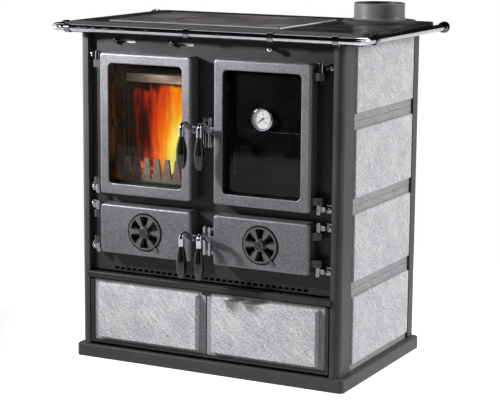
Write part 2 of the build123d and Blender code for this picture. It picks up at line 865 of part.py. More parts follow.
def flue_damper():
    """Sliding plate under the flue, with the arm that hangs down to the bypass rod."""
    z = damper_plane()
    plate = block(flue_x - damper_w / 2, flue_x + damper_w / 2, flue_y - damper_d / 2,
                  flue_y + damper_d / 2, z, z + damper_t)
    arm_y = flue_y - damper_d / 2 + damper_arm_t * 2
    riser_x = flue_x - damper_w / 2 + guide_ledge
    arm_end = riser_x + damper_arm_w
    arm_top = z - guide_ledge
    arm = block(bypass_x - bypass_r * 2, arm_end, arm_y, arm_y + damper_arm_t,
                control_z - bypass_r * 2, arm_top)
    riser = block(riser_x, arm_end, arm_y, arm_y + damper_arm_t, arm_top - 1, z + 1)
    return plate + arm + riser


# ---- wood drawer ------------------------------------------------------------------------
def drawer_front_frame():
    """Black panel with a rim on three sides, and the small tab over the stones' joint."""
    x1 = post_in - drawer_gap
    front = body_front
    face = front + drawer_lip_d
    frame = block(-x1, x1, face, face + drawer_panel_t, drawer_foot, drawer_head)
    ring = block(-x1, x1, front, face, drawer_foot, drawer_head - drawer_tile_head)
    ring -= block(-x1 + drawer_rim, x1 - drawer_rim, front, face,
                  drawer_foot + drawer_tile_foot, drawer_head - drawer_tile_head)
    tab_back = face - drawer_tile_d + drawer_tile_step - seat_gap
    tab_front = tab_back - joint_tab_t
    half = joint_tab_w / 2
    tab = block(-half, half, tab_front, tab_back, drawer_head - joint_tab_drop, drawer_head)
    tab += block(-half, half, tab_front, face + 1, drawer_head - drawer_tile_head + seat_gap, drawer_head)
    return frame + ring + tab


def drawer_stone():
    x0 = drawer_tile_joint / 2
    x1 = post_in - drawer_gap - drawer_rim
    z0 = drawer_foot + drawer_tile_foot
    z1 = drawer_head - drawer_tile_head
    face = Plane(origin=(0, body_front + drawer_lip_d, 0), x_dir=(1, 0, 0), z_dir=(0, -1, 0))
    slab = rebated_slab(x1 - x0, z1 - z0, drawer_tile_d, drawer_tile_step, drawer_step_run,
                        drawer_border_side, drawer_border)
    return both(face * Pos((x0 + x1) / 2, (z0 + z1) / 2) * slab)


def drawer_pull():
    """Lip along the top of the drawer's front: fingers go behind its lower edge."""
    wide = post_in + pull_over
    narrow = post_in - seat_gap * 3
    front = body_front - pull_stand
    top = pull_z + pull_h
    panel_y = body_front + drawer_lip_d
    lip = block(-wide, wide, front, front + pull_t, pull_z, top)
    lip = fillet(lip.edges().filter_by(Axis.X).group_by(Axis.Y)[0].sort_by(Axis.Z)[-1], pull_t * 0.7)
    lip += block(-narrow, narrow, front + 1, plate_face - pull_t / 2, top - pull_t, top)
    lip += block(-narrow, narrow, panel_y, panel_y + drawer_panel_t, drawer_head, top - 1)
    return lip


def drawer_box():
    x1 = post_in - drawer_box_side
    y0 = body_front + drawer_lip_d + drawer_panel_t
    z0 = plinth_h + runner_foot()
    t = drawer_sheet
    box = block(-x1, x1, y0, y0 + drawer_box_d, z0, z0 + drawer_box_h)
    return box - block(-x1 + t, x1 - t, y0 + t, y0 + drawer_box_d - t, z0 + t, z0 + drawer_box_h)


def runner_foot():
    """Height of the drawer's underside above the plinth."""
    return drawer_foot - plinth_h + drawer_lift


def drawer_runners():
    """Angles on the plinth under the drawer's sides."""
    top = plinth_h + runner_foot() - seat_gap
    x1 = post_in - drawer_box_side
    y0 = plate_back
    y1 = rear_skin_y - skin_t - runner_rear
    runner = block(x1 - runner_w, x1, y0, y1, top - runner_t, top)
    runner += block(x1 - runner_t, x1, y0, y1, plinth_h, top)
    runner += block(x1 - runner_w, x1 - runner_w + runner_t, y0, y1, plinth_h, top)
    return both(runner)


# ---- hob --------------------------------------------------------------------------------
def hob_frame():
    """Black frame with a sloping front nose, a skirt, the plate's seat and the flue hole."""
    x1 = hob_w / 2
    skirt_z = frame_top - hob_skirt
    slab = prism_z(plan(-x1, x1, hob_front, hob_rear, hob_corner_r), skirt_z, hob_h)
    nose = Polygon((hob_front, hob_h - hob_nose_h), (hob_front + hob_nose_d, hob_h),
                   (hob_front, hob_h), align=None)
    slab -= prism_x(nose, -x1, x1)
    top = slab.faces().filter_by(Plane.XY).sort_by(Axis.Z)[-1]
    slab = fillet(top.edges(), hob_edge_r)
    t = hob_skirt_t
    hollow_r = hob_corner_r - t
    slab -= prism_z(plan(-x1 + t, x1 - t, hob_front + t, hob_rear - t, hollow_r), skirt_z, frame_top)
    px1 = plate_x0 + plate_w
    py1 = plate_y0 + plate_d
    seat_z = hob_h + cook_proud - cook_t
    play = cook_play
    seat = plan(plate_x0 - play, px1 + play, plate_y0 - play, py1 + play, cook_r + play)
    slab -= prism_z(seat, seat_z, hob_h)
    ledge = cook_ledge
    well = plan(plate_x0 + ledge, px1 - ledge, plate_y0 + ledge, py1 - ledge, cook_r)
    slab -= prism_z(well, frame_top, hob_h)
    slab -= rod_z(flue_x, flue_y, frame_top, hob_h, flue_throat_r)
    return slab + damper_guides()


def damper_guides():
    """Two angles under the slab that the flue damper slides in."""
    y0 = flue_y - damper_d / 2 - damper_travel - 2
    y1 = flue_y + damper_d / 2 + 2
    ledge_top = damper_plane() - seat_gap
    guides = None
    for way in (-1, 1):
        edge = flue_x + way * (damper_w / 2 + seat_gap)
        web = sorted((edge, edge + way * guide_t))
        lip = sorted((edge - way * guide_ledge / 2, edge + way * guide_t))
        guide = block(web[0], web[1], y0, y1, ledge_top - guide_t / 2, frame_top)
        guide += block(lip[0], lip[1], y0, y1, ledge_top - guide_t / 2, ledge_top)
        guides = guide if guides is None else guides + guide
    return guides


def lid_centre():
    return plate_x0 + plate_w / 2, plate_y0 + plate_d / 2


def cooking_plate():
    z1 = hob_h + cook_proud
    z0 = z1 - cook_t
    px1 = plate_x0 + plate_w
    py1 = plate_y0 + plate_d
    plate = prism_z(plan(plate_x0, px1, plate_y0, py1, cook_r), z0, z1)
    plate = chamfer(plate.faces().sort_by(Axis.Z)[-1].edges(), 1.2)
    x, y = lid_centre()
    plate -= rod_z(x, y, z0 + cook_t / 2, z1, lid_r + lid_play)
    return plate - rod_z(x, y, z0, z1, lid_r - lid_ledge)


def cooking_lid():
    """Loose round lid with a dished socket for the lifting tool near its rim."""
    z1 = hob_h + cook_proud
    x, y = lid_centre()
    lid = rod_z(x, y, z1 - cook_t / 2, z1, lid_r)
    lid = chamfer(lid.faces().sort_by(Axis.Z)[-1].edges(), 0.8)
    turn = math.radians(68)
    reach = lid_r - lid_lift_r - lid_lift_in
    dish = Pos(x + reach * math.cos(turn), y + reach * math.sin(turn), z1 + lid_lift_r * 0.75)
    return lid - dish * Sphere(lid_lift_r)


def flue_collar():
    """Flanged spigot that the stove pipe slips over."""
    z0 = hob_h
    collar = rod_z(flue_x, flue_y, z0, z0 + flange_t, flange_r)
    collar = fillet(collar.faces().sort_by(Axis.Z)[-1].edges(), flange_t / 3)
    collar += rod_z(flue_x, flue_y, z0 + 1, z0 + flue_h, flue_r)
    root = [e for e in collar.edges().filter_by(GeomType.CIRCLE)
            if abs(e.radius - flue_r) < 0.01 and abs(e.center().Z - z0 - flange_t) < 0.01]
    collar = fillet(root, flue_root_r)
    rim = [e for e in collar.edges().filter_by(GeomType.CIRCLE)
           if abs(e.radius - flue_r) < 0.01 and abs(e.center().Z - z0 - flue_h) < 0.01]
    collar = fillet(rim, flue_rim_r)
    return collar - rod_z(flue_x, flue_y, z0, z0 + flue_h, flue_r - flue_wall)


# ---- hand rail --------------------------------------------------------------------------
def rail_line():
    """Half width, front and rear ends of the rail's centre line."""
    return hob_w / 2 + rail_out, hob_front - rail_front, hob_rear - rail_end


def hand_rail():
    x, y0, y1 = rail_line()
    points = [(-x, y1, rail_z), (-x, y0, rail_z), (x, y0, rail_z), (x, y1, rail_z)]
    return pipe(points, rail_corner_r, rail_r)


def rail_brackets():
    """Front and side brackets with their rings, and the ringed end brackets at the rear."""
    x, y0, y1 = rail_line()
    half = bracket_w / 2
    ring_r = rail_r + bracket_ring
    arm_half = bracket_arm_w / 2
    root = rail_z - hob_skirt * 0.6
    brackets = []
    for bx in bracket_xs:
        arm = Polygon((y0, rail_z - arm_half), (hob_front, root), (hob_front, root + bracket_arm_h),
                      (y0, rail_z + arm_half), align=None)
        piece = prism_x(arm, bx - arm_half, bx + arm_half)
        piece += rod_x(bx - half, bx + half, y0, rail_z, ring_r)
        brackets.append(piece - rod_x(bx - half, bx + half, y0, rail_z, rail_r))
    for side in (-1, 1):
        rx = side * x
        x0, x1 = sorted((side * hob_w / 2, rx))
        y = side_bracket_y
        piece = block(x0, x1, y - arm_half, y + arm_half, rail_z - bracket_arm_h, rail_z)
        piece += rod_y(rx, y - half, y + half, rail_z, ring_r)
        brackets.append(piece - rod_y(rx, y - half, y + half, rail_z, rail_r))
        sleeve = y1 - end_sleeve
        piece = rod_y(rx, sleeve, y1 + 1, rail_z, ring_r)
        piece += rod_y(rx, sleeve, sleeve + end_disc_t / 2, rail_z, ring_r + 1)
        piece += block(x0, x1, sleeve, y1, rail_z - bracket_arm_h, rail_z + bracket_arm_h / 2)
        piece -= rod_y(rx, sleeve, y1, rail_z, rail_r)
        piece += rod_y(rx, y1, y1 + end_disc_t, rail_z, ring_r + 2)
        knob = Pos(rx, y1 + end_disc_t, rail_z) * Sphere(rail_r)
        brackets.append(piece + (knob & rod_y(rx, y1 + 1, y1 + end_disc_t + rail_r, rail_z, rail_r)))
    return brackets


# ---- firebox ----------------------------------------------------------------------------
def fire_span():
    """Inner faces of the firebox: x0, x1, y0, y1."""
    x0, x1, _, _ = upper_port(-1)
    y0 = plate_back + seat_gap
    return x0 - fire_side, x1 + fire_side, y0, y0 + fire_d


def firebox_walls():
    """Two side walls cast with upright ribs, and the plain rear wall."""
    x0, x1, y0, y1 = fire_span()
    z1 = frame_top - fire_head
    rib_top = baffle_z - baffle_drop - rib_w / 2
    left = block(x0 - wall_t, x0, y0, y1, hearth_z, z1)
    right = block(x1, x1 + wall_t, y0, y1, hearth_z, z1)
    count = int((y1 - y0 - 2 * rib_start + rib_pitch) // rib_pitch)
    for i in range(count):
        y = y0 + rib_start + i * rib_pitch
        left += block(x0 - 1, x0 + rib_d, y, y + rib_w, hearth_z, rib_top)
        right += block(x1 - rib_d, x1 + 1, y, y + rib_w, hearth_z, rib_top)
    front, back, under = baffle_underside()
    ledge = Polygon((front, under[0] - seat_gap), (back, under[1] - seat_gap),
                    (back, under[1] - rib_w), (front, under[0] - rib_w), align=None)
    left += prism_x(ledge, x0 - 1, x0 + rib_d)
    right += prism_x(ledge, x1 - rib_d, x1 + 1)
    rear = block(x0 - wall_t, x1 + wall_t, y1, y1 + wall_t, hearth_z, z1)
    return [left, right, rear]


def hearth_plate():
    """Floor of the firebox, from the side casing to the middle divider."""
    x0, x1, y0, y1 = fire_span()
    plate = block(-skin_x + skin_t + seat_gap, divider_x + chassis_t / 2, y0, y1 + wall_t,
                  hearth_z - hearth_t, hearth_z)
    cx = (x0 + x1) / 2
    hole_w = grate_w / 2 + grate_play
    hole_d = grate_d / 2 + grate_play
    plate -= block(cx - hole_w, cx + hole_w, grate_y - hole_d, grate_y + hole_d,
                   hearth_z - grate_t, hearth_z)
    hole_w -= grate_ledge
    hole_d -= grate_ledge
    return plate - block(cx - hole_w, cx + hole_w, grate_y - hole_d, grate_y + hole_d,
                         hearth_z - hearth_t, hearth_z)


def fire_grate():
    """Cast grate: a rim with bars from front to rear."""
    x0, x1, _, _ = fire_span()
    cx = (x0 + x1) / 2
    z1 = hearth_z - 0.5
    z0 = hearth_z - grate_t
    y0 = grate_y - grate_d / 2
    y1 = grate_y + grate_d / 2
    grate = block(cx - grate_w / 2, cx + grate_w / 2, y0, y1, z0, z1)
    count = int(grate_w // grate_pitch) - 1
    slit = grate_pitch - grate_bar
    for i in range(count):
        x = cx + (i - (count - 1) / 2) * grate_pitch
        grate -= block(x - slit / 2, x + slit / 2, y0 + grate_rim, y1 - grate_rim, z0, z1)
    return grate


def baffle_underside():
    """Front and rear Y of the baffle's flat underside, and its heights there."""
    _, _, y0, y1 = fire_span()
    front = y0 + baffle_set + baffle_lip
    heights = (baffle_z - baffle_t - baffle_thick, baffle_z - baffle_drop)
    return front, y1 - seat_gap, heights


def smoke_baffle():
    """Sloping plate on ledges across the top of the firebox, with a deep front edge."""
    x0, x1, y0, _ = fire_span()
    front, rear, under = baffle_underside()
    nose = y0 + baffle_set
    outline = Polygon((nose, baffle_z - baffle_nose), (nose, baffle_z), (rear, under[1] + baffle_t),
                      (rear, under[1]), (front, under[0]), (front, baffle_z - baffle_nose), align=None)
    return prism_x(outline, x0 + seat_gap, x1 - seat_gap)


def log_retainer():
    """Toothed fence that keeps the logs off the glass."""
    x0, x1, y0, _ = fire_span()
    cx = (x0 + x1) / 2
    y = y0 + retainer_set
    z0 = hearth_z
    base = z0 + retainer_base
    half = tooth_count * tooth_pitch / 2
    fence = block(cx - half, cx + half, y, y + retainer_t, z0, base)
    for i in range(tooth_count):
        x = cx + (i - (tooth_count - 1) / 2) * tooth_pitch
        tooth = Polygon((x - tooth_foot / 2, base - 1), (x + tooth_foot / 2, base - 1),
                        (x + tooth_top / 2, z0 + retainer_h), (x - tooth_top / 2, z0 + retainer_h),
                        align=None)
        fence += prism_y(tooth, y, y + retainer_t)
    return fence


def ash_pan():
    """Open sheet pan under the grate, with a folded pull at the front."""
    x0, x1, z0, _ = lower_port(-1)
    x0 += pan_play
    x1 -= pan_play
    y0 = plate_back + pan_play
    z0 = chassis_z + pan_lift
    t = pan_sheet
    pan = block(x0, x1, y0, y0 + pan_d, z0, z0 + pan_h)
    pan -= block(x0 + t, x1 - t, y0 + t, y0 + pan_d - t, z0 + t, z0 + pan_h)
    left = (x0 + x1 - pan_pull_w) / 2
    right = left + pan_pull_w
    shelf = z0 + pan_h * 0.55
    pull = block(left, right, y0 - pan_pull_d, y0, shelf, shelf + t)
    pull += block(left, right, y0 - pan_pull_d, y0 - pan_pull_d + t, shelf - pan_pull_h, shelf + t)
    feet = block(x0, x1, y0, y0 + pan_foot_d, chassis_z, z0)
    feet += block(x0, x1, y0 + pan_d - pan_foot_d, y0 + pan_d, chassis_z, z0)
    return pan + pull + feet


def inner_chassis():
    """Floor over the drawer, the divider, and the warming compartment's walls."""
    y0 = plate_back
    y1 = rear_skin_y - skin_t - seat_gap
    t = chassis_t
    half = skin_x - skin_t - seat_gap
    _, x1, _, z1 = lower_port(1)
    floor = block(-half, half, y0, y1, chassis_z - t, chassis_z)
    divider = block(divider_x - t / 2, divider_x + t / 2, y0, y1, chassis_z - 1, hearth_z - hearth_t)
    side = block(x1, x1 + t, y0, y0 + warm_d, chassis_z - 1, z1 + t)
    head = block(divider_x, x1 + t, y0, y0 + warm_d, z1, z1 + t)
    rear = block(divider_x, x1 + t, y0 + warm_d - t, y0 + warm_d, chassis_z - 1, z1 + t)
    return floor + divider + side + head + rear


# ---- oven -------------------------------------------------------------------------------
def oven_box():
    x0, x1, z0, z1 = upper_port(1)
    t = oven_wall
    y0 = plate_back
    box = block(x0 - t, x1 + t, y0, y0 + oven_d, z0 - t, z1 + t)
    return box - block(x0, x1, y0, y0 + oven_d - t, z0, z1)


def oven_level(share):
    return oven_floor + share * oven_h


def oven_side_rails():
    """Wire ladders on the side walls that carry the rack."""
    x0, x1, z0, z1 = upper_port(1)
    y0 = plate_back + ladder_set
    y1 = plate_back + oven_d - oven_wall - ladder_set
    ladder = None
    x = x1 - wire_r
    low = oven_level(min(oven_levels)) - ladder_over
    high = oven_level(max(oven_levels)) + ladder_over
    for y in (y0 + ladder_set, y1 - ladder_set):
        post = rod_z(x, y, low, high, wire_r)
        ladder = post if ladder is None else ladder + post
    for share in oven_levels:
        ladder += rod_y(x - wire_r * 1.6, y0, y1, oven_level(share) - wire_r * 2, wire_r)
    cx = (x0 + x1) / 2
    return [ladder, mirror(ladder, about=Plane.YZ.offset(cx))]


def oven_rack():
    """Wire shelf: a bent rim with thinner wires from front to rear."""
    x0, x1, _, _ = upper_port(1)
    x0 += rack_play + wire_r
    x1 -= rack_play + wire_r
    y0 = plate_back + rack_set
    y1 = plate_back + oven_d - rack_rear
    z = oven_level(rack_level) + seat_gap
    corners = [(x0, y0, z), (x1, y0, z), (x1, y1, z), (x0, y1, z)]
    path = FilletPolyline(*corners, radius=rack_corner_r, close=True)
    rack = sweep(Plane(origin=path @ 0, z_dir=path % 0) * Circle(wire_r), path=path)
    for i in range(rack_wires):
        x = x0 + (x1 - x0) * (i + 1) / (rack_wires + 1)
        rack += rod_y(x, y0, y1, z, wire_r * 0.7)
    return rack


# ---- thermometer ------------------------------------------------------------------------
def dial_planes():
    """Front of the bezel and front of the glass pane behind it."""
    pane_y = door_front + pane_depth
    return pane_y - dial_depth, pane_y


def thermometer_case():
    front, pane_y = dial_planes()
    case = rod_y(dial_x, front, pane_y, dial_z, dial_r)
    case = fillet(case.faces().sort_by(Axis.Y)[0].edges(), dial_edge)
    case -= rod_y(dial_x, front, front + dial_well, dial_z, dial_r - dial_ring)
    pane_back = pane_y + pane_t + seat_gap
    case += rod_y(dial_x, pane_y - 1, pane_back + dial_stem_l, dial_z, dial_stem_r)
    case += rod_y(dial_x, pane_back, pane_back + dial_nut_t, dial_z, dial_nut_r)
    face = front + dial_well
    return case + rod_y(dial_x, face - needle_pin_l, face + 1, dial_z, needle_pin_r)


def thermometer_lens():
    front, _ = dial_planes()
    y0 = front + lens_set
    return rod_y(dial_x, y0, y0 + lens_t, dial_z, dial_r - dial_ring)


def thermometer_pointer():
    front, _ = dial_planes()
    y1 = front + dial_well - 0.5
    y0 = y1 - needle_t
    boss = rod_y(dial_x, y0 - 0.3, y1, dial_z, needle_boss_r)
    tip = needle_w * 0.3
    hand = Polygon((-needle_w, -needle_tail), (needle_w, -needle_tail), (tip, needle_l), (-tip, needle_l),
                   align=None)
    hand = prism_y(Pos(dial_x, dial_z) * Rot(0, 0, needle_deg) * hand, y0, y1)
    return boss + hand - rod_y(dial_x, y0 - 0.3, y1, dial_z, needle_pin_r + pin_fit / 2)


# ---- write every piece ------------------------------------------------------------------
os.makedirs("parts", exist_ok=True)

save("base_plinth", base_plinth())
save("corner_posts", *both(front_post()), *both(rear_post()))
save("casing_panels", *casing_panels())
right_stone = side_stone()
save("side_stone_right", *right_stone)
save("side_stone_left", *[mirror(slab, about=Plane.YZ) for slab in right_stone])
save("front_plate", front_plate())
save("hob_frame", hob_frame())
save("cooking_plate", cooking_plate())
save("cooking_lid", cooking_lid())
save("flue_collar", flue_collar())
save("hand_rail", hand_rail())
save("rail_brackets", *rail_brackets())

save("firebox_walls", *firebox_walls())
save("hearth_plate", hearth_plate())
save("fire_grate", fire_grate())
save("smoke_baffle", smoke_baffle())
save("log_retainer", log_retainer())
save("ash_pan", ash_pan())
save("inner_chassis", inner_chassis())
save("oven_box", oven_box())
save("oven_side_rails", *oven_side_rails())
save("oven_rack", oven_rack())

save("fire_door_frame", glazed_door(-1))
save("fire_door_glass", pane(-1))
save("fire_door_clips", *pane_clips(-1))
save("fire_door_seal", door_seal(-1, upper_z, upper_h))
save("oven_door_frame", glazed_door(1))
save("oven_door_glass", pane(1))
save("oven_door_clips", *pane_clips(1))
save("oven_door_seal", door_seal(1, upper_z, upper_h))
save("ash_door_frame", low_door(-1))
save("ash_door_seal", door_seal(-1, lower_z, lower_h))
save("ash_register", register(-1))
save("warming_door_frame", low_door(1))
save("warming_door_seal", door_seal(1, lower_z, lower_h))
save("warming_register", register(1))

save("hinge_brackets", *hinge_brackets())
save("hinge_pins", *hinge_pins())
save("hinge_screws", *hinge_screws())
save("latch_keepers", *latch_keepers())
door_rows = ((("fire", -1), ("oven", 1)), (("ash", -1), ("warming", 1)))
for shaft_z, door_row in zip(latch_levels(), door_rows):
    for door_name, side in door_row:
        save(door_name + "_latch_lever", latch_lever(side, shaft_z))
        save(door_name + "_latch_grip", latch_grip(side, shaft_z))

save("air_slide_left", air_slide(*slide_slots[0]))
save("air_slide_right", air_slide(*slide_slots[1]))
save("bypass_rod", bypass_rod())
save("flue_damper", flue_damper())

save("drawer_front_frame", drawer_front_frame())
save("drawer_stone", *drawer_stone())
save("drawer_pull", drawer_pull())
save("drawer_box", drawer_box())
save("drawer_runners", *drawer_runners())

save("thermometer_case", thermometer_case())
save("thermometer_lens", thermometer_lens())
save("thermometer_pointer", thermometer_pointer())
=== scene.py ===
import math

import bmesh
import bpy
from mathutils import Matrix, Vector, noise


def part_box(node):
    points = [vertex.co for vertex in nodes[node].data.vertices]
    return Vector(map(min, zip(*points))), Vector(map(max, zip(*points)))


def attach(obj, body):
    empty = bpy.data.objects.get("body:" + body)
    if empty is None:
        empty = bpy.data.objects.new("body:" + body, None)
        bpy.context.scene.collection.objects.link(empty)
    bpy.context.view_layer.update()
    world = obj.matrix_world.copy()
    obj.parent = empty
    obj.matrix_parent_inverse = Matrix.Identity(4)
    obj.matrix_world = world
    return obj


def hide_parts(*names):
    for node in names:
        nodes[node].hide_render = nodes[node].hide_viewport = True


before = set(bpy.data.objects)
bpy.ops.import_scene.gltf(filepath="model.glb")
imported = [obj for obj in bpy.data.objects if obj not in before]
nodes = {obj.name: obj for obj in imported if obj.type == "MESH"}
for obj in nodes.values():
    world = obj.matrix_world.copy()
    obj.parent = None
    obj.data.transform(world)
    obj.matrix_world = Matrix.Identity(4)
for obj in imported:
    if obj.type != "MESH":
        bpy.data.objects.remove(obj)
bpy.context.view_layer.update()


# ---- plinth and corner posts ------------------------------------------------------------
# The pressed base tray and the four folded corner posts. Sheet steel, sprayed with a satin
# dark grey stove paint that dries to a very fine grain.
class Level:
    """A value in a finish that can stand in sums: each operator adds its Math node.

    The sign | takes the larger of two values, which joins two masks.
    """

    def __init__(self, finish, socket):
        self.finish = finish
        self.socket = socket

    def sum(self, operation, *terms):
        return self.finish.node("ShaderNodeMath", {"operation": operation}, dict(enumerate(terms)))

    def __add__(self, other):
        return self.sum("ADD", self, other)

    def __sub__(self, other):
        return self.sum("SUBTRACT", self, other)

    def __rsub__(self, other):
        return self.sum("SUBTRACT", other, self)

    def __mul__(self, other):
        return self.sum("MULTIPLY", self, other)

    def __pow__(self, other):
        return self.sum("POWER", self, other)

    def __abs__(self):
        return self.sum("ABSOLUTE", self)

    def __gt__(self, other):
        return self.sum("GREATER_THAN", self, other)

    def __lt__(self, other):
        return self.sum("LESS_THAN", self, other)

    def __or__(self, other):
        return self.sum("MAXIMUM", self, other)

    __radd__ = __add__
    __rmul__ = __mul__


class Shading:
    """A tree of shader nodes with short ways to add to it."""

    def __init__(self, tree, shader):
        self.tree = tree
        self.shader = tree.nodes[shader]

    def node(self, kind, settings=None, sockets=None, output=0):
        made = self.tree.nodes.new(kind)
        for key, value in (settings or {}).items():
            if key == "stops":
                first, *inner, last = value
                for element, stop in zip(made.color_ramp.elements, (first, last)):
                    element.position, element.color = stop[0], (*stop[1], 1)
                for place, shade in inner:
                    made.color_ramp.elements.new(place).color = (*shade, 1)
            else:
                setattr(made, key, value)
        for key, value in (sockets or {}).items():
            self.feed(made.inputs[key], value)
        return Level(self, made.outputs[output])

    def feed(self, socket, value):
        if isinstance(value, Level):
            self.tree.links.new(value.socket, socket)
        elif socket.type == "RGBA":
            socket.default_value = (*value, 1)
        else:
            socket.default_value = value

    def set(self, key, value):
        self.feed(self.shader.inputs[key], value)

    def place(self):
        """Where a point lies on the stove, in metres."""
        return self.node("ShaderNodeTexCoord", output="Object")

    def axes(self, wanted="XYZ", spot=None):
        """The wanted parts of a point, which is the place on the stove unless one is given."""
        spot = spot or self.place()
        return [self.node("ShaderNodeSeparateXYZ", None, {0: spot}, axis) for axis in wanted]

    def grain(self, scale, detail=2.0, stretch=(1, 1, 1), turn=0.0, spot=None, shift=0.0):
        """Noise of so many blots to the metre, turned about Z and drawn out if asked."""
        spot = self.node("ShaderNodeMapping", {"vector_type": "TEXTURE"}, {
            "Vector": spot or self.place(), "Location": (shift, shift, shift),
            "Rotation": (0, 0, math.radians(turn)), "Scale": stretch})
        return self.node("ShaderNodeTexNoise", None,
                         {"Vector": spot, "Scale": scale, "Detail": detail})

    def fade(self, value, start, end, low=0.0, high=1.0):
        """Runs smoothly from low to high while value goes from start to end."""
        return self.node("ShaderNodeMapRange", {"interpolation_type": "SMOOTHSTEP"},
                         {0: value, 1: start, 2: end, 3: low, 4: high})

    def mix(self, share, under, over):
        """Covers one colour with a share of another."""
        return self.node("ShaderNodeMix", {"data_type": "RGBA"}, {0: share, 6: under, 7: over}, 2)

    def bump(self, height, depth, strength=1.0):
        self.set("Normal", self.node("ShaderNodeBump", None,
                                     {"Height": height, "Distance": depth, "Strength": strength}))


class Finish(Shading):
    """The finish of one kind of surface."""

    def __init__(self, name, **constants):
        self.material = bpy.data.materials.new(name)
        self.material.use_nodes = True
        super().__init__(self.material.node_tree, "Principled BSDF")
        for key, value in constants.items():
            self.set(key.replace("_", " "), value)


def coat(finish, *names):
    """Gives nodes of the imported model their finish."""
    for name in names:
        for holder in nodes[name].material_slots:
            holder.material = finish.material


dust_top = 0.10

post_paint = Finish("post_paint", Specular_IOR_Level=0.15)
[z] = post_paint.axes("Z")
patch = post_paint.grain(6, 4)
dust = post_paint.fade(z, dust_top, 0.0)
tone = post_paint.mix(post_paint.fade(patch, 0.35, 0.65), (0.052, 0.051, 0.054),
                      (0.064, 0.063, 0.066))
post_paint.set("Base Color", post_paint.mix(dust * 0.30, tone, (0.08, 0.078, 0.075)))
post_paint.set("Roughness", post_paint.fade(patch, 0.3, 0.7, 0.36, 0.44))
post_paint.bump(post_paint.grain(1300, 3), 0.00012)
coat(post_paint, "base_plinth", "corner_posts")

# ---- casing, chassis and drawer tray ----------------------------------------------------
# The sheet-steel skins behind the posts and stones, the floor and dividers inside them, and
# the tray of the wood drawer with its runners. All are sprayed matt black before assembly.
casing_paint = Finish("casing_paint", Specular_IOR_Level=0.35)
patch = casing_paint.grain(5, 5)
scuff = casing_paint.grain(60, 4, (1, 1, 0.15))
tone = casing_paint.mix(casing_paint.fade(patch, 0.3, 0.7), (0.016, 0.016, 0.017),
                        (0.024, 0.024, 0.025))
casing_paint.set("Base Color", casing_paint.mix(casing_paint.fade(scuff, 0.62, 0.74) * 0.3, tone,
                                                (0.05, 0.05, 0.05)))
casing_paint.set("Roughness", casing_paint.fade(patch, 0.3, 0.7, 0.5, 0.62))
casing_paint.bump(casing_paint.grain(900, 2), 0.0001)
coat(casing_paint, "casing_panels", "inner_chassis", "drawer_box", "drawer_runners")

# ---- stone cladding ---------------------------------------------------------------------
# Four rebated slabs on each side and two on the drawer front: pale grey soapstone, its
# raised faces brushed in long slanting strokes, its sunk borders darkened with painted shade.
side_skin = 0.3405
side_border = 0.3572
front_border = -0.2405

stone = Finish("soapstone", Specular_IOR_Level=0.3)
x, y, z = stone.axes()
spot = stone.node("ShaderNodeCombineXYZ", None, {0: x + y, 1: z})
cloud = stone.grain(13, 5, spot=spot)
drift = stone.grain(34, 5, (2, 1, 1), -35, spot, 3.0)
tone = stone.mix(stone.fade(cloud, 0.36, 0.64), (0.47, 0.475, 0.497), (0.60, 0.605, 0.622))
tone = stone.mix(stone.fade(drift, 0.50, 0.66) * 0.35, tone, (0.72, 0.724, 0.735))
stroke = stone.grain(210, 3, (6, 1, 1), -38, spot)
cross = stone.grain(230, 3, (4, 1, 1), 27, spot, 5.0)
tone = stone.mix(stone.fade(stroke, 0.55, 0.64) * 0.50, tone, (0.22, 0.225, 0.24))
tone = stone.mix(stone.fade(cross, 0.58, 0.68) * 0.35, tone, (0.26, 0.265, 0.28))
pale = stone.grain(170, 4, (7, 1, 1), -48, spot, 9.0)
tone = stone.mix(stone.fade(pale, 0.56, 0.66) * 0.60, tone, (0.86, 0.865, 0.87))
fleck = stone.grain(240, 2, (1.3, 1, 1), -40, spot, 2.0)
tone = stone.mix(stone.fade(fleck, 0.53, 0.62) * 0.60, tone, (0.25, 0.255, 0.27))
grit = stone.grain(290, 2, spot=spot, shift=7.0)
tone = stone.mix(stone.fade(grit, 0.52, 0.61) * 0.60, tone, (0.84, 0.845, 0.855))
# Painted shade: the sunk borders round the raised faces are darkened.
side_recess_shade = (abs(x) < side_border) * (abs(x) > side_skin)
front_recess_shade = (y > front_border) * (abs(x) < side_skin)
stone.set("Base Color", stone.mix((side_recess_shade | front_recess_shade) * 0.55, tone, (0.14, 0.143, 0.15)))
stone.set("Roughness", stone.fade(cloud, 0.3, 0.7, 0.52, 0.66))
relief = stroke * 0.7 + cross * 0.5 - stone.fade(fleck, 0.55, 0.7) * 0.35 + drift * 0.4
stone.bump(relief, 0.0006, 0.8)
coat(stone, "side_stone_left", "side_stone_right", "drawer_stone")

# ---- front plate, drawer front and pull -------------------------------------------------
# The recessed casting behind the doors, the drawer's black panel and its folded finger pull.
# Cast iron and sheet steel under a smooth black enamel.
enamel = Finish("black_enamel", Specular_IOR_Level=0.25)
patch = enamel.grain(4, 3)
enamel.set("Base Color", enamel.mix(enamel.fade(patch, 0.35, 0.65), (0.021, 0.021, 0.024),
                                    (0.028, 0.028, 0.031)))
enamel.set("Roughness", enamel.fade(patch, 0.3, 0.7, 0.30, 0.38))
enamel.bump(enamel.grain(160, 2), 0.00012, 0.5)
coat(enamel, "front_plate", "drawer_front_frame", "drawer_pull")

# ---- hob frame --------------------------------------------------------------------------
# The frame round the cooking plate, with a sloping nose along the front. One iron casting,
# enamelled black on a slightly rippled surface.
hob_enamel = Finish("hob_enamel", Specular_IOR_Level=0.35)
smear = hob_enamel.grain(14, 5, (2.5, 1, 1))
hob_enamel.set("Base Color", hob_enamel.mix(
    hob_enamel.fade(smear, 0.4, 0.65), (0.013, 0.013, 0.015), (0.024, 0.024, 0.026)))
hob_enamel.set("Roughness", hob_enamel.fade(smear, 0.3, 0.7, 0.20, 0.36))
hob_enamel.bump(hob_enamel.grain(120, 3), 0.00025, 0.6)
coat(hob_enamel, "hob_frame")
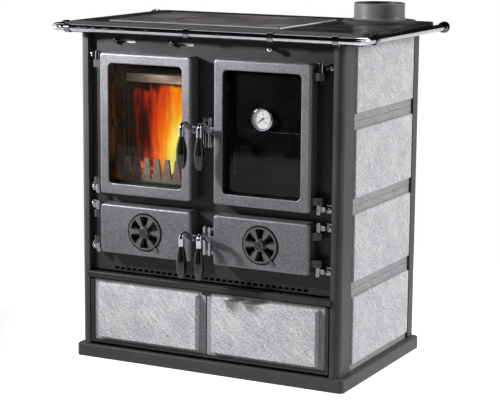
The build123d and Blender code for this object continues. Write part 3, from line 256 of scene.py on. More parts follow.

# ---- cooking plate and lid --------------------------------------------------------------
# A ground cast-iron plate let into the hob with a loose round lid. Oil and heat have left it
# brown-grey and blotched; its bevelled rim is polished by the pans and painted pale as a painted
# highlight.
bevel = 0.0022
scorch_r = 0.118
plate_lo, plate_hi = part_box("cooking_plate")
plate_x = (plate_lo[0] + plate_hi[0]) / 2
plate_y = (plate_lo[1] + plate_hi[1]) / 2
rim_w = (plate_hi[0] - plate_lo[0]) / 2 - bevel
rim_d = (plate_hi[1] - plate_lo[1]) / 2 - bevel


def squares(a, b):
    """Square of the distance from an axis, given how far off it lies two ways."""
    return a * a + b * b


iron = Finish("cooking_iron")
x, y = iron.axes("XY")
blot = iron.grain(11, 6)
grind = iron.grain(220, 3, (8, 1, 1))
tone = iron.mix(iron.fade(blot, 0.35, 0.65), (0.115, 0.104, 0.102), (0.19, 0.178, 0.176))
tone = iron.mix(iron.fade(grind, 0.5, 0.7) * 0.35, tone, (0.27, 0.26, 0.26))
reach = squares(x - plate_x, y - plate_y) ** 0.5
scorch = iron.fade(abs(reach - scorch_r), 0.035, 0.004)
tone = iron.mix(scorch * 0.45, tone, (0.07, 0.055, 0.05))
# Painted highlight: the bevelled rim is pale grey, not metallic, and a little smoother.
polished_rim_highlight = (abs(x - plate_x) > rim_w) | (abs(y - plate_y) > rim_d)
iron.set("Base Color", iron.mix(polished_rim_highlight, tone, (0.66, 0.65, 0.65)))
iron.set("Metallic", 0.6 - polished_rim_highlight * 0.6)
iron.set("Roughness", iron.fade(blot, 0.3, 0.7, 0.36, 0.52) - polished_rim_highlight * 0.12)
iron.bump(grind * 0.6 + iron.grain(700, 2) * 0.5, 0.00015, 0.8)
coat(iron, "cooking_plate", "cooking_lid")

# ---- flue collar ------------------------------------------------------------------------
# The flanged spigot for the stove pipe at the rear right. A thin grey iron casting, turned
# outside, painted satin dark grey and bolted up from under the hob.
flue_x, flue_y = 0.282, 0.150
bore_r, bore_edge = 0.0604, 0.0008
flange_top, flange_edge = 0.8625, 0.0020

flue_paint = Finish("flue_paint", Specular_IOR_Level=0.25)
x, y, z = flue_paint.axes()
patch = flue_paint.grain(12, 4)
turning = flue_paint.grain(8, 2, (1, 1, 0.011))
tone = flue_paint.mix(flue_paint.fade(patch, 0.35, 0.65), (0.105, 0.105, 0.111),
                      (0.135, 0.135, 0.141))
flange = flue_paint.fade(z, flange_top, flange_top - flange_edge)
tone = flue_paint.mix(flange, tone, (0.035, 0.034, 0.034))
inside = flue_paint.fade(squares(x - flue_x, y - flue_y), (bore_r + bore_edge) ** 2, bore_r ** 2)
flue_paint.set("Base Color", flue_paint.mix(inside * 0.85, tone, (0.012, 0.011, 0.010)))
flue_paint.set("Roughness", flue_paint.fade(patch, 0.3, 0.7, 0.40, 0.48) + flange * 0.32)
flue_paint.bump(turning * 0.5 + flue_paint.grain(900, 2) * 0.4, 0.00018, 0.7)
coat(flue_paint, "flue_collar")

# ---- hand rail and its brackets ---------------------------------------------------------
# A bent steel tube round the front and sides, held in split rings. Tube and brackets are
# chrome plated; handling has left them faintly smudged.
def plated(name, shade, low, high):
    """Chrome plate with fingerprints that only dull its shine."""
    plate = Finish(name, Metallic=1.0)
    smudge = plate.grain(45, 4)
    plate.set("Base Color",
              plate.mix(plate.fade(smudge, 0.4, 0.7), shade, [c * 0.82 for c in shade]))
    plate.set("Roughness", plate.fade(smudge, 0.42, 0.72, low, high))
    return plate


rail_chrome = plated("rail_chrome", (0.54, 0.55, 0.58), 0.05, 0.13)
coat(rail_chrome, "hand_rail")
chrome = plated("chrome", (0.60, 0.61, 0.64), 0.06, 0.15)
dark_chrome = plated("dark_chrome", (0.26, 0.265, 0.28), 0.10, 0.20)
coat(dark_chrome, "rail_brackets")

# ---- firebox ----------------------------------------------------------------------------
# Ribbed cast-iron walls, the hearth plate with its grate, and the toothed fence in front of
# the logs. Bare castings that have burnt in: sooty above, ash-grey below.
hearth = 0.452
ash_top = 0.50

fire_iron = Finish("fire_iron", Specular_IOR_Level=0.3)
[z] = fire_iron.axes("Z")
soot = fire_iron.grain(18, 6)
ash = fire_iron.fade(z, ash_top, hearth)
tone = fire_iron.mix(fire_iron.fade(soot, 0.35, 0.65), (0.020, 0.016, 0.014),
                     (0.048, 0.040, 0.034))
fire_iron.set("Base Color", fire_iron.mix(ash * 0.8, tone, (0.34, 0.315, 0.285)))
fire_iron.set("Roughness", fire_iron.fade(soot, 0.3, 0.7, 0.66, 0.84))
fire_iron.bump(fire_iron.grain(420, 4) + soot, 0.0005, 0.7)
coat(fire_iron, "firebox_walls", "hearth_plate", "fire_grate")

fence_iron = Finish("fence_iron", Specular_IOR_Level=0.4, Metallic=0.2)
soot = fence_iron.grain(60, 5)
fence_iron.set("Base Color", fence_iron.mix(fence_iron.fade(soot, 0.35, 0.65), (0.16, 0.15, 0.135),
                                            (0.27, 0.255, 0.23)))
fence_iron.set("Roughness", fence_iron.fade(soot, 0.3, 0.7, 0.5, 0.7))
fence_iron.bump(fence_iron.grain(600, 3), 0.0003, 0.6)
coat(fence_iron, "log_retainer")

# ---- smoke baffle -----------------------------------------------------------------------
# The sloping board across the top of the firebox, resting on ledges of the side walls.
# Pressed insulating board, stained brown by the fire.
board = Finish("baffle_board", Specular_IOR_Level=0.2)
stain = board.grain(13, 6)
tone = board.mix(board.fade(stain, 0.35, 0.68), (0.78, 0.70, 0.63), (0.52, 0.45, 0.39))
board.set("Base Color",
          board.mix(board.fade(board.grain(240, 3), 0.55, 0.7) * 0.4, tone, (0.62, 0.54, 0.46)))
board.set("Roughness", board.fade(stain, 0.3, 0.7, 0.82, 0.94))
board.bump(board.grain(300, 4), 0.0005, 0.8)
coat(board, "smoke_baffle")

# ---- logs and embers --------------------------------------------------------------------
# What burns behind the fence: split logs with charred bark on a bed of glowing embers.
# They lie loose on the grate.
fire_x0, fire_x1 = -0.2665, -0.0525


def piece(name, mesh, finish, body, smooth=True):
    """Puts a mesh on the stove as one piece that rides on a body."""
    for face in mesh.polygons:
        face.use_smooth = smooth
    made = bpy.data.objects.new(name, mesh)
    bpy.context.scene.collection.objects.link(made)
    mesh.materials.append(finish.material)
    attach(made, body)
    return made


def skin_rings(shape, rings):
    """Joins rings of points into one skin, and caps both ends."""
    loops = [[shape.verts.new(point) for point in ring] for ring in rings]
    count = len(loops[0])
    for low, high in zip(loops, loops[1:]):
        for i in range(count):
            j = (i + 1) % count
            shape.faces.new((low[i], low[j], high[j], high[i]))
    shape.faces.new(list(reversed(loops[0])))
    shape.faces.new(loops[-1])


def finish_mesh(shape, name):
    """Turns a built shape into a mesh with all its faces looking outwards."""
    bmesh.ops.recalc_face_normals(shape, faces=shape.faces[:])
    mesh = bpy.data.meshes.new(name)
    shape.to_mesh(mesh)
    shape.free()
    return mesh


def log(shape, start, end, radius, seed):
    """One log: a rough round that swells, bends and splits along its length."""
    along = end - start
    across = along.orthogonal().normalized()
    up = along.normalized().cross(across)
    rings = []
    steps, sides = 26, 28
    for k in range(steps + 1):
        t = k / steps
        middle = start + along * t + up * 0.004 * math.sin(3 * t + seed)
        ring = []
        for i in range(sides):
            a = 2 * math.pi * i / sides
            knot = noise.noise(Vector((math.cos(a) * 1.6 + seed, math.sin(a) * 1.6, t * 5))) * 0.22
            groove = noise.noise(Vector((a * 4.0, seed, t * 1.5))) * 0.10
            r = radius * (1 + knot + groove) * (0.93 if k in (0, steps) else 1)
            ring.append(middle + (across * math.cos(a) + up * math.sin(a)) * r)
        rings.append(ring)
    skin_rings(shape, rings)


bark = Finish("charred_bark", Specular_IOR_Level=0.2, Emission_Strength=1.4)
crack = bark.grain(70, 4, (1, 3, 1))
heat = bark.fade(crack, 0.56, 0.66)
tone = bark.mix(bark.fade(bark.grain(35, 5), 0.4, 0.65), (0.012, 0.010, 0.009),
                (0.075, 0.05, 0.035))
bark.set("Base Color", bark.mix(bark.fade(bark.grain(90, 3, shift=4.0), 0.6, 0.7) * 0.6, tone,
                                (0.30, 0.28, 0.26)))
bark.set("Emission Color", bark.mix(heat, (0.0, 0.0, 0.0), (1.0, 0.17, 0.012)))
bark.set("Roughness", bark.fade(crack, 0.3, 0.7, 0.8, 0.95))
bark.bump(crack, 0.002, 0.8)

shape = bmesh.new()
for start, end, radius, seed in (
        ((-0.232, -0.150, 0.483), (-0.215, 0.095, 0.487), 0.025, 1.0),
        ((-0.098, -0.160, 0.484), (-0.125, 0.090, 0.486), 0.026, 4.2),
        ((-0.165, -0.130, 0.486), (-0.168, 0.105, 0.489), 0.024, 7.7),
        ((-0.235, -0.030, 0.528), (-0.080, 0.020, 0.532), 0.022, 2.9)):
    log(shape, Vector(start), Vector(end), radius, seed)
piece("burning_logs", finish_mesh(shape, "burning_logs"), bark, "stove")

ember = Finish("embers", Specular_IOR_Level=0.15, Emission_Strength=2.2)
glow = ember.fade(ember.grain(85, 4), 0.44, 0.62)
ember.set("Base Color", ember.mix(glow, (0.10, 0.09, 0.085), (0.25, 0.10, 0.04)))
ember.set("Emission Color", ember.mix(glow, (0.02, 0.003, 0.0), (1.0, 0.22, 0.02)))
ember.set("Roughness", ember.fade(glow, 0.0, 1.0, 0.95, 0.8))
ember.bump(ember.grain(120, 4), 0.003, 0.9)


def lump(u, v):
    """Height of the ember bed above the hearth at a share of its width and depth."""
    edge = min(u, 1 - u, v, 1 - v)
    heap = 0.5 + 0.5 * noise.noise(Vector((u * 9, v * 11, 3.0)))
    return 0.002 + min(1.0, edge * 7) * (0.010 + 0.010 * heap)


shape = bmesh.new()
bed_x0, bed_x1, bed_y0, bed_y1 = fire_x0 + 0.008, fire_x1 - 0.008, -0.190, 0.118
bed_gap = 0.0003
across, deep = 34, 46
grid = []
for j in range(deep + 1):
    row = []
    for i in range(across + 1):
        u, v = i / across, j / deep
        row.append(shape.verts.new((bed_x0 + (bed_x1 - bed_x0) * u,
                                    bed_y0 + (bed_y1 - bed_y0) * v, hearth + lump(u, v))))
    grid.append(row)
for j in range(deep):
    for i in range(across):
        shape.faces.new((grid[j][i], grid[j][i + 1], grid[j + 1][i + 1], grid[j + 1][i]))
skirt = bmesh.ops.extrude_edge_only(shape, edges=[e for e in shape.edges if e.is_boundary])
for vert in (v for v in skirt["geom"] if isinstance(v, bmesh.types.BMVert)):
    vert.co.z = hearth + bed_gap
bmesh.ops.contextual_create(shape, geom=[e for e in shape.edges if e.is_boundary])
piece("ember_bed", finish_mesh(shape, "ember_bed"), ember, "stove")

# ---- flames -----------------------------------------------------------------------------
# Three wavy sheets of flame that rise from the logs, yellow low on the right and dark red on
# the left. Burning gas, so each sheet thins out to nothing at its ends and along its top.
cool_side, hot_side, lean = -0.338, -0.205, 0.58
flame_foot, flame_top = 0.47, 0.70

flame = Finish("flame", Base_Color=(0, 0, 0), Specular_IOR_Level=0.0, Emission_Strength=1.25)
flame.material.surface_render_method = "BLENDED"
x, y, z = flame.axes()
wrap = flame.node("ShaderNodeUVMap", {"uv_map": "sheet"})
across_sheet, up_sheet = flame.axes("XY", wrap)
streak = flame.grain(62, 3, (1, 1, 8))
side = flame.fade(x + y * lean, cool_side, hot_side)
rise = flame.fade(z, flame_foot, flame_top)
warmth = 0.12 + side * (0.40 + side * 0.60) * (1.12 - rise * 0.68) + (streak - 0.5) * 0.9
shade = flame.node("ShaderNodeValToRGB", {"stops": (
    (0.0, (0.05, 0.002, 0.001)), (0.20, (0.34, 0.014, 0.002)), (0.40, (0.85, 0.085, 0.004)),
    (0.58, (1.0, 0.27, 0.010)), (0.76, (1.0, 0.62, 0.030)), (1.0, (1.0, 0.90, 0.16)),
)}, {0: warmth})
flame.set("Emission Color", shade)
ends = flame.fade(across_sheet, 0.0, 0.10) * flame.fade(across_sheet, 1.0, 0.90)
tips = flame.fade(up_sheet, 1.0, 0.92) * flame.fade(up_sheet, 0.0, 0.05)
flame.set("Alpha", ends * tips * flame.fade(streak + side * 0.14, 0.36, 0.60, 0.10, 0.90))


def flame_sheet(shape, layer, start, end, height, seed):
    """One wavy sheet of flame from start to end, ragged along its upper edge."""
    columns, rows = 72, 26
    grid = []
    for i in range(columns + 1):
        share = i / columns
        foot = start.lerp(end, share)
        slow = noise.noise(Vector((share * 5, seed, 0)))
        quick = noise.noise(Vector((share * 17, seed, 5)))
        lick = 0.5 + 0.5 * slow + 0.35 * quick
        top = height * min(1.0, 0.94 + 0.10 * lick)
        column = []
        for k in range(rows + 1):
            t = k / rows
            sway = noise.noise(Vector((share * 3, t * 1.6 - seed, 2.0))) * 0.022 * t
            depth = noise.noise(Vector((share * 4, t * 1.2, seed))) * 0.020
            column.append(shape.verts.new(foot + Vector((sway, depth, top * t))))
        grid.append(column)
    for i in range(columns):
        for k in range(rows):
            corners = ((i, k), (i + 1, k), (i + 1, k + 1), (i, k + 1))
            face = shape.faces.new([grid[u][v] for u, v in corners])
            for corner, (u, v) in zip(face.loops, corners):
                corner[layer].uv = (u / columns, v / rows)


shape = bmesh.new()
layer = shape.loops.layers.uv.new("sheet")
for start, end, height, seed in (
        ((-0.242, -0.172, 0.470), (-0.072, -0.150, 0.474), 0.224, 1.3),
        ((-0.248, -0.098, 0.474), (-0.072, -0.125, 0.474), 0.223, 4.1),
        ((-0.246, -0.060, 0.474), (-0.078, -0.030, 0.476), 0.218, 7.9)):
    flame_sheet(shape, layer, Vector(start), Vector(end), height, seed)
flames = piece("flames", finish_mesh(shape, "flames"), flame, "stove")
flames.visible_diffuse = False

# ---- ash pan, damper and pane clips -----------------------------------------------------
# The pan under the grate, the sliding plate under the flue and the clips behind the panes.
# Plain sheet steel, folded or cut, with its rolling marks showing.
sheet = Finish("sheet_steel", Metallic=0.85)
rolling = sheet.grain(300, 4, (1, 12, 1))
bloom = sheet.grain(10, 5)
sheet.set("Base Color",
          sheet.mix(sheet.fade(bloom, 0.4, 0.65), (0.36, 0.355, 0.35), (0.22, 0.205, 0.195)))
sheet.set("Roughness", sheet.fade(rolling, 0.3, 0.7, 0.34, 0.52))
sheet.bump(rolling, 0.0001, 0.6)
coat(sheet, "ash_pan", "flue_damper", "fire_door_clips", "oven_door_clips")

# ---- oven -------------------------------------------------------------------------------
# The oven's steel box, speckled dark enamel inside, with wire ladders on its side walls and
# a wire rack, both chrome plated.
oven_enamel = Finish("oven_enamel", Specular_IOR_Level=0.35)
dot = oven_enamel.grain(650, 1)
patch = oven_enamel.grain(7, 4)
tone = oven_enamel.mix(oven_enamel.fade(patch, 0.35, 0.65), (0.030, 0.030, 0.034),
                       (0.045, 0.045, 0.050))
oven_enamel.set("Base Color",
                oven_enamel.mix(oven_enamel.fade(dot, 0.66, 0.72), tone, (0.16, 0.165, 0.18)))
oven_enamel.set("Roughness", oven_enamel.fade(patch, 0.3, 0.7, 0.25, 0.36))
oven_enamel.bump(oven_enamel.grain(90, 2), 0.0002, 0.5)
coat(oven_enamel, "oven_box")
coat(chrome, "oven_side_rails", "oven_rack")

# ---- doors ------------------------------------------------------------------------------
# Four iron castings: two tall frames for the glass and two shallow boxes below. They are
# sprayed with a metallic grey stove paint. The hinge lugs, the window reveals and the wheels'
# seats are darkened as painted shade.
door_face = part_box("fire_door_frame")[0][1]
shade_start_depth = 0.0012
door_edge = 0.2884
wheel_x, wheel_z = 0.1595, 0.343
seat_r = 0.0483

door_paint = Finish("door_paint", Metallic=0.55, Specular_IOR_Level=0.5)
x, y, z = door_paint.axes()
pane_lo, pane_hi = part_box("fire_door_glass")
seat = squares(abs(x) - wheel_x, z - wheel_z) < seat_r ** 2
reveal = (abs(x) > -pane_hi[0]) * (abs(x) < -pane_lo[0]) * (z > pane_lo[2]) * (z < pane_hi[2])
# Painted shade in the window reveals and the wheels' seats, behind the front face.
recess_shade = (seat + reveal) * (y > door_face + shade_start_depth)
flake = door_paint.grain(430, 3)
patch = door_paint.grain(8, 4)
tone = door_paint.mix(door_paint.fade(patch, 0.35, 0.65), (0.098, 0.096, 0.104),
                      (0.118, 0.116, 0.125))
tone = door_paint.mix(door_paint.fade(flake, 0.42, 0.60), tone, (0.195, 0.192, 0.206))
# Painted shade: the hinge lugs beyond the doors' rims are darkened.
tone = door_paint.mix(abs(x) > door_edge, tone, (0.040, 0.040, 0.042))
door_paint.set("Base Color", door_paint.mix(recess_shade, tone, (0.016, 0.016, 0.017)))
door_paint.set("Roughness", door_paint.fade(patch, 0.3, 0.7, 0.40, 0.47))
door_paint.bump(door_paint.grain(560, 4), 0.0005, 0.8)
coat(door_paint, "fire_door_frame", "oven_door_frame", "ash_door_frame", "warming_door_frame")

# ---- door seals -------------------------------------------------------------------------
# Braided glass rope pressed and glued into the groove round the back of each door. Off-white
# when new, greyed by smoke.
rope = Finish("glass_rope", Specular_IOR_Level=0.1, Sheen_Weight=0.25)
braid = rope.node("ShaderNodeTexWave", {"wave_type": "BANDS", "bands_direction": "DIAGONAL"}, {
    "Vector": rope.place(), "Scale": 170.0, "Distortion": 1.5, "Detail": 2.0})
smoke = rope.grain(30, 4)
tone = rope.mix(rope.fade(smoke, 0.35, 0.7), (0.42, 0.40, 0.37), (0.20, 0.19, 0.175))
rope.set("Base Color", rope.mix(rope.fade(braid, 0.0, 1.0) * 0.5, tone, (0.55, 0.53, 0.50)))
rope.set("Roughness", rope.fade(smoke, 0.3, 0.7, 0.9, 0.98))
rope.bump(braid, 0.0006, 0.9)
coat(rope, "fire_door_seal", "oven_door_seal", "ash_door_seal", "warming_door_seal")

# ---- panes ------------------------------------------------------------------------------
# Flat ceramic glass, 4 mm thick, held in the rebate of each tall door by turned clips.
# Clear under a thin film of smoke, with the oven's pane tinted grey.
def glazing(name, tint, gloss, dust):
    """Clear glass with a film of dust: light passes through it, and a little is thrown back."""
    glass = Finish(name)
    film = glass.grain(16, 4)
    through = glass.node("ShaderNodeBsdfTransparent", None, {"Color": tint})
    back = glass.node("ShaderNodeBsdfGlossy", None, {
        "Color": (0.9, 0.92, 0.95), "Roughness": glass.fade(film, 0.3, 0.8, 0.02, 0.07)})
    haze = glass.node("ShaderNodeBsdfDiffuse", None, {"Color": dust})
    hazy = glass.fade(film, 0.3, 0.8, 0.08, 0.16)
    clear = glass.node("ShaderNodeMixShader", None, {0: hazy, 1: through, 2: haze})
    share = glass.node("ShaderNodeFresnel", None, {"IOR": gloss})
    both = glass.node("ShaderNodeMixShader", None, {0: share, 1: clear, 2: back})
    glass.tree.nodes.remove(glass.shader)
    glass.tree.links.new(both.socket, glass.tree.nodes["Material Output"].inputs["Surface"])
    glass.material.surface_render_method = "BLENDED"
    return glass


fire_glass = glazing("fire_glass", (0.95, 0.93, 0.90), 1.18, (0.02, 0.018, 0.016))
coat(fire_glass, "fire_door_glass")
oven_glass = glazing("oven_glass", (0.66, 0.67, 0.70), 1.25, (0.030, 0.031, 0.035))
coat(oven_glass, "oven_door_glass")

# ---- thermometer ------------------------------------------------------------------------
# A dial thermometer clamped through the oven's pane: plated bezel, enamelled white face with
# a printed scale, black hand and a flat lens.
coat(chrome, "thermometer_case")
lens_glass = glazing("lens_glass", (0.98, 0.985, 0.985), 1.15, (0.70, 0.70, 0.71))
coat(lens_glass, "thermometer_lens")

case_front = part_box("thermometer_case")[0][1]
dial_depth = 0.0055
dial = Vector((0.157, case_front + dial_depth, 0.645))
face_r = 0.0237
shadow_w = 0.0032
print_back, print_front = 0.00035, 0.00055
long_in, middle_in, short_in, mark_out = 0.0145, 0.0165, 0.0178, 0.0196
bold, fine = 0.00032, 0.00018
marks, scale_start, scale_sweep = 40, -135, 270
hot_in, hot_out, hot_half, hot_front = 0.0203, 0.0212, 0.00085, 0.00050
hot_parts, hot_start, hot_sweep = 18, 57.2, 80
number_r, number_front = 0.0112, 0.00048

hand_paint = Finish("hand_paint", Specular_IOR_Level=0.3)
hand_paint.set("Base Color", hand_paint.mix(hand_paint.grain(900, 2), (0.010, 0.010, 0.010),
                                            (0.030, 0.028, 0.028)))
hand_paint.set("Roughness", hand_paint.fade(hand_paint.grain(300, 2), 0.3, 0.7, 0.4, 0.55))
coat(hand_paint, "thermometer_pointer")

dial_white = Finish("dial_white", Specular_IOR_Level=0.4)
x, z = dial_white.axes("XZ")
speck = dial_white.grain(700, 3)
ring = squares(x - dial.x, z - dial.z) ** 0.5
shadow = dial_white.fade(ring, face_r - shadow_w, face_r) * 0.20
tone = dial_white.mix(dial_white.fade(speck, 0.45, 0.7) * 0.2, (0.96, 0.96, 0.955),
                      (0.86, 0.855, 0.84))
dial_white.set("Base Color", dial_white.mix(shadow, tone, (0.35, 0.35, 0.36)))
dial_white.set("Roughness", dial_white.fade(speck, 0.3, 0.7, 0.32, 0.42))


def ring_about(centre, ahead, count, radius):
    """Points round an axis that runs to the front; radius gives the reach at each angle."""
    angles = [2 * math.pi * i / count for i in range(count)]
    return [centre + Vector((math.cos(a) * radius(a), -ahead, math.sin(a) * radius(a)))
            for a in angles]


shape = bmesh.new()
skin_rings(shape, [ring_about(dial, ahead, 64, lambda a: radius) for radius, ahead in (
    (face_r, 0.0), (face_r, 0.0002), (face_r - 0.0008, 0.0004), (0.004, 0.0004),
    (0.0022, 0.0004), (0.0018, 0.0002), (0.0018, 0.0))])
piece("dial_face", finish_mesh(shape, "dial_face"), dial_white, "oven_door", smooth=False)


def bar(shape, angle, r0, r1, half_width, proud):
    """A printed mark along a radius of the dial."""
    out = Vector((math.sin(angle), 0, math.cos(angle)))
    side = Vector((math.cos(angle), 0, -math.sin(angle))) * half_width
    ring = [out * r0 - side, out * r0 + side, out * r1 + side, out * r1 - side]
    skin_rings(shape, [[dial + p + Vector((0, -y, 0)) for p in ring]
                       for y in (print_back, proud)])


shape = bmesh.new()
for k in range(marks + 1):
    turn = math.radians(scale_start + scale_sweep * k / marks)
    start = long_in if k % 10 == 0 else (middle_in if k % 5 == 0 else short_in)
    bar(shape, turn, start, mark_out, bold if k % 10 == 0 else fine, print_front)
piece("dial_marks", finish_mesh(shape, "dial_marks"), hand_paint, "oven_door", smooth=False)

dial_red = Finish("dial_red", Specular_IOR_Level=0.3)
dial_red.set("Base Color",
             dial_red.mix(dial_red.grain(900, 2), (0.45, 0.03, 0.02), (0.36, 0.02, 0.015)))
dial_red.set("Roughness", dial_red.fade(dial_red.grain(300, 2), 0.3, 0.7, 0.4, 0.5))
shape = bmesh.new()
for k in range(hot_parts):
    turn = math.radians(hot_start + hot_sweep * k / hot_parts)
    bar(shape, turn, hot_in, hot_out, hot_half, hot_front)
piece("dial_hot_arc", finish_mesh(shape, "dial_hot_arc"), dial_red, "oven_door", smooth=False)

for k in range(5):
    turn = math.radians(scale_start + scale_sweep * k / 4)
    words = bpy.data.curves.new("dial_number_%d" % k, "FONT")
    words.body = str(k * 100)
    words.size = 0.0046
    words.extrude = 0.00008
    words.align_x = "CENTER"
    words.align_y = "CENTER"
    number = bpy.data.objects.new("dial_number_%d" % k, words)
    bpy.context.scene.collection.objects.link(number)
    number.location = dial + Vector((math.sin(turn) * number_r, -number_front,
                                     math.cos(turn) * number_r))
    number.rotation_euler = (math.pi / 2, 0, 0)
    words.materials.append(hand_paint.material)
    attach(number, "oven_door")

# ---- air wheels -------------------------------------------------------------------------
# The spoked wheels that open and close the draught in the two low doors. Iron castings,
# painted satin dark grey, each turning on a riveted pivot, with a ring of painted shade at the
# rim.
hub_r = 0.0105
boss_r, dish_r = 0.0130, 0.0150
gap_shade_in, gap_shade_out = 0.0438, 0.0468

wheel_paint = Finish("wheel_paint", Specular_IOR_Level=0.55, Metallic=0.5)
x, z = wheel_paint.axes("XZ")
patch = wheel_paint.grain(30, 4)
spread = squares(abs(x) - wheel_x, z - wheel_z) ** 0.5
tone = wheel_paint.mix(wheel_paint.fade(patch, 0.35, 0.65), (0.095, 0.094, 0.099),
                       (0.125, 0.124, 0.129))
# Painted shade: a black ring at the wheel's rim stands for the gap to its seat.
edge = (spread > gap_shade_in) * (spread < gap_shade_out)
tone = wheel_paint.mix(spread < hub_r, tone, (0.030, 0.030, 0.032))
wheel_paint.set("Base Color", wheel_paint.mix(edge, tone, (0.012, 0.012, 0.013)))
wheel_paint.set("Roughness", wheel_paint.fade(spread, boss_r, dish_r, 0.16, 0.36))
wheel_paint.bump(wheel_paint.grain(800, 3), 0.0002, 0.6)
coat(wheel_paint, "ash_register", "warming_register")

# ---- hinges -----------------------------------------------------------------------------
# Knuckle brackets screwed to the front plate, with headed pins through the doors' lugs.
# Plated steel; the screws are domed with a hexagon socket.
coat(dark_chrome, "hinge_brackets", "hinge_pins")

screw_plating = Finish("screw_plating", Metallic=1.0)
smudge = screw_plating.grain(120, 3)
screw_plating.set("Base Color", screw_plating.mix(smudge, (0.42, 0.43, 0.45), (0.30, 0.31, 0.32)))
screw_plating.set("Roughness", screw_plating.fade(smudge, 0.3, 0.7, 0.16, 0.28))


def socket_screw(shape, centre, radius, height, flats):
    """Domed head facing the front, with a six-sided socket."""
    count, steps = 36, 8
    dome = [(radius, 0.0)]
    for k in range(steps + 1):
        t = k / steps
        dome.append((radius * (1 - 0.5 * t ** 2.6),
                     height * (0.35 + 0.65 * math.sin(t * math.pi / 2))))
    rings = [ring_about(centre, ahead, count, lambda a: reach) for reach, ahead in dome]
    for depth in (height, height * 0.35):
        rings.append(ring_about(centre, depth, count, lambda a: flats / 2 / math.cos(
            a % (math.pi / 3) - math.pi / 6)))
    skin_rings(shape, rings)


socket_flats = 0.0050
least_gap = 0.02
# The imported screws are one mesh, so their points are sorted by side and level first.
heads = {}
for vert in nodes["hinge_screws"].data.vertices:
    column = heads.setdefault(vert.co.x > 0, {})
    level = next((known for known in column if abs(known - vert.co.z) < least_gap), vert.co.z)
    column.setdefault(level, []).append(vert.co.copy())
shape = bmesh.new()
for column in heads.values():
    for points in column.values():
        lo = Vector(map(min, *points))
        hi = Vector(map(max, *points))
        socket_screw(shape, Vector(((lo.x + hi.x) / 2, hi.y, (lo.z + hi.z) / 2)),
                     (hi.x - lo.x) / 2, hi.y - lo.y, socket_flats)
heads_piece = piece("hinge_screw_heads", finish_mesh(shape, "hinge_screw_heads"), screw_plating,
                    "stove")
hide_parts("hinge_screws")

# ---- latches ----------------------------------------------------------------------------
# Catch bars between the doors, and a chrome crook on each door that carries a hanging grip.
# The grips are turned and polished gloss black.
coat(chrome, "latch_keepers", "fire_latch_lever", "oven_latch_lever", "ash_latch_lever",
     "warming_latch_lever")
grip_black = Finish("grip_black", Specular_IOR_Level=0.5)
polish = grip_black.grain(300, 4, (1, 1, 9))
grip_black.set("Base Color", grip_black.mix(
    grip_black.fade(polish, 0.4, 0.65), (0.007, 0.007, 0.008), (0.013, 0.012, 0.012)))
grip_black.set("Roughness", grip_black.fade(polish, 0.3, 0.7, 0.10, 0.18))
grip_black.bump(polish, 0.00012, 0.4)
coat(grip_black, "fire_latch_grip", "oven_latch_grip", "ash_latch_grip", "warming_latch_grip")

# ---- air slides and bypass --------------------------------------------------------------
# Two plated air plates that slide along their slots by small dark knobs, and the chrome ball
# knob whose rod draws the damper from under the flue.
plate_front = -0.2245

slide_plate = Finish("slide_plate", Metallic=1.0)
[y] = slide_plate.axes("Y")
smudge = slide_plate.grain(60, 4)
knob = y < plate_front
tone = slide_plate.mix(slide_plate.fade(smudge, 0.35, 0.65), (0.56, 0.56, 0.57),
                       (0.45, 0.45, 0.46))
slide_plate.set("Base Color", slide_plate.mix(knob, tone, (0.24, 0.245, 0.255)))
slide_plate.set("Roughness", slide_plate.fade(smudge, 0.3, 0.7, 0.34, 0.46) - knob * 0.24)
coat(slide_plate, "air_slide_left", "air_slide_right")
coat(chrome, "bypass_rod")

# ---- rear panel screws ------------------------------------------------------------------
# Pan-head screws with a cross slot that hold the rear skin to the rear posts. Plated steel,
# blackened.
dark_screw = Finish("dark_screw", Metallic=0.8)
smudge = dark_screw.grain(150, 3)
dark_screw.set("Base Color", dark_screw.mix(smudge, (0.07, 0.07, 0.072), (0.14, 0.14, 0.145)))
dark_screw.set("Roughness", dark_screw.fade(smudge, 0.3, 0.7, 0.32, 0.45))


def cross_screw(shape, centre, radius, height):
    """Low domed head facing the rear, with two crossed slots sunk in it."""
    count, half_slot = 40, 0.22

    def cross(a):
        slot = min(abs(math.sin(a)), abs(math.cos(a)))
        return 1.0 if slot < half_slot else half_slot / slot * 0.9

    rings = [ring_about(centre, -height * h, count, lambda a: radius * r) for r, h in (
        (1.0, 0.0), (1.0, 0.35), (0.93, 0.62), (0.80, 0.82), (0.62, 0.95), (0.50, 1.0))]
    for depth, reach in ((1.0, 0.44), (0.45, 0.38)):
        rings.append(ring_about(centre, -height * depth, count,
                                lambda a: radius * reach * cross(a)))
    skin_rings(shape, rings)


head_r, head_h = 0.0042, 0.0022
edge_inset = 0.034
post_x = 0.325
first_x, pitch_x = -0.195, 0.13
panel_lo, panel_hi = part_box("casing_panels")
shape = bmesh.new()
for k in range(7):
    level = panel_lo[2] + edge_inset + (panel_hi[2] - panel_lo[2] - 2 * edge_inset) * k / 6
    for side_x in (-post_x, post_x):
        cross_screw(shape, Vector((side_x, panel_hi[1], level)), head_r, head_h)
for k in range(4):
    for level in (panel_lo[2] + edge_inset, panel_hi[2] - edge_inset):
        cross_screw(shape, Vector((first_x + pitch_x * k, panel_hi[1], level)), head_r, head_h)
piece("rear_panel_screws", finish_mesh(shape, "rear_panel_screws"), dark_screw, "stove")

# ---- studio -----------------------------------------------------------------------------
# A pale floor that keeps the stove's soft shadow and fades into a white room. A small lamp on
# the front left, broad ones on the right and overhead, one for the cooking plate and three
# bulbs for the fire. The cards are seen only as reflections in polished surfaces.
def stage_sheet(name, corners, finish):
    """A flat sheet of the studio, which is no part of the stove."""
    mesh = bpy.data.meshes.new(name)
    mesh.from_pydata(corners, [], [(0, 1, 2, 3)])
    mesh.materials.append(finish.material)
    sheet_object = bpy.data.objects.new(name, mesh)
    bpy.context.scene.collection.objects.link(sheet_object)
    return sheet_object


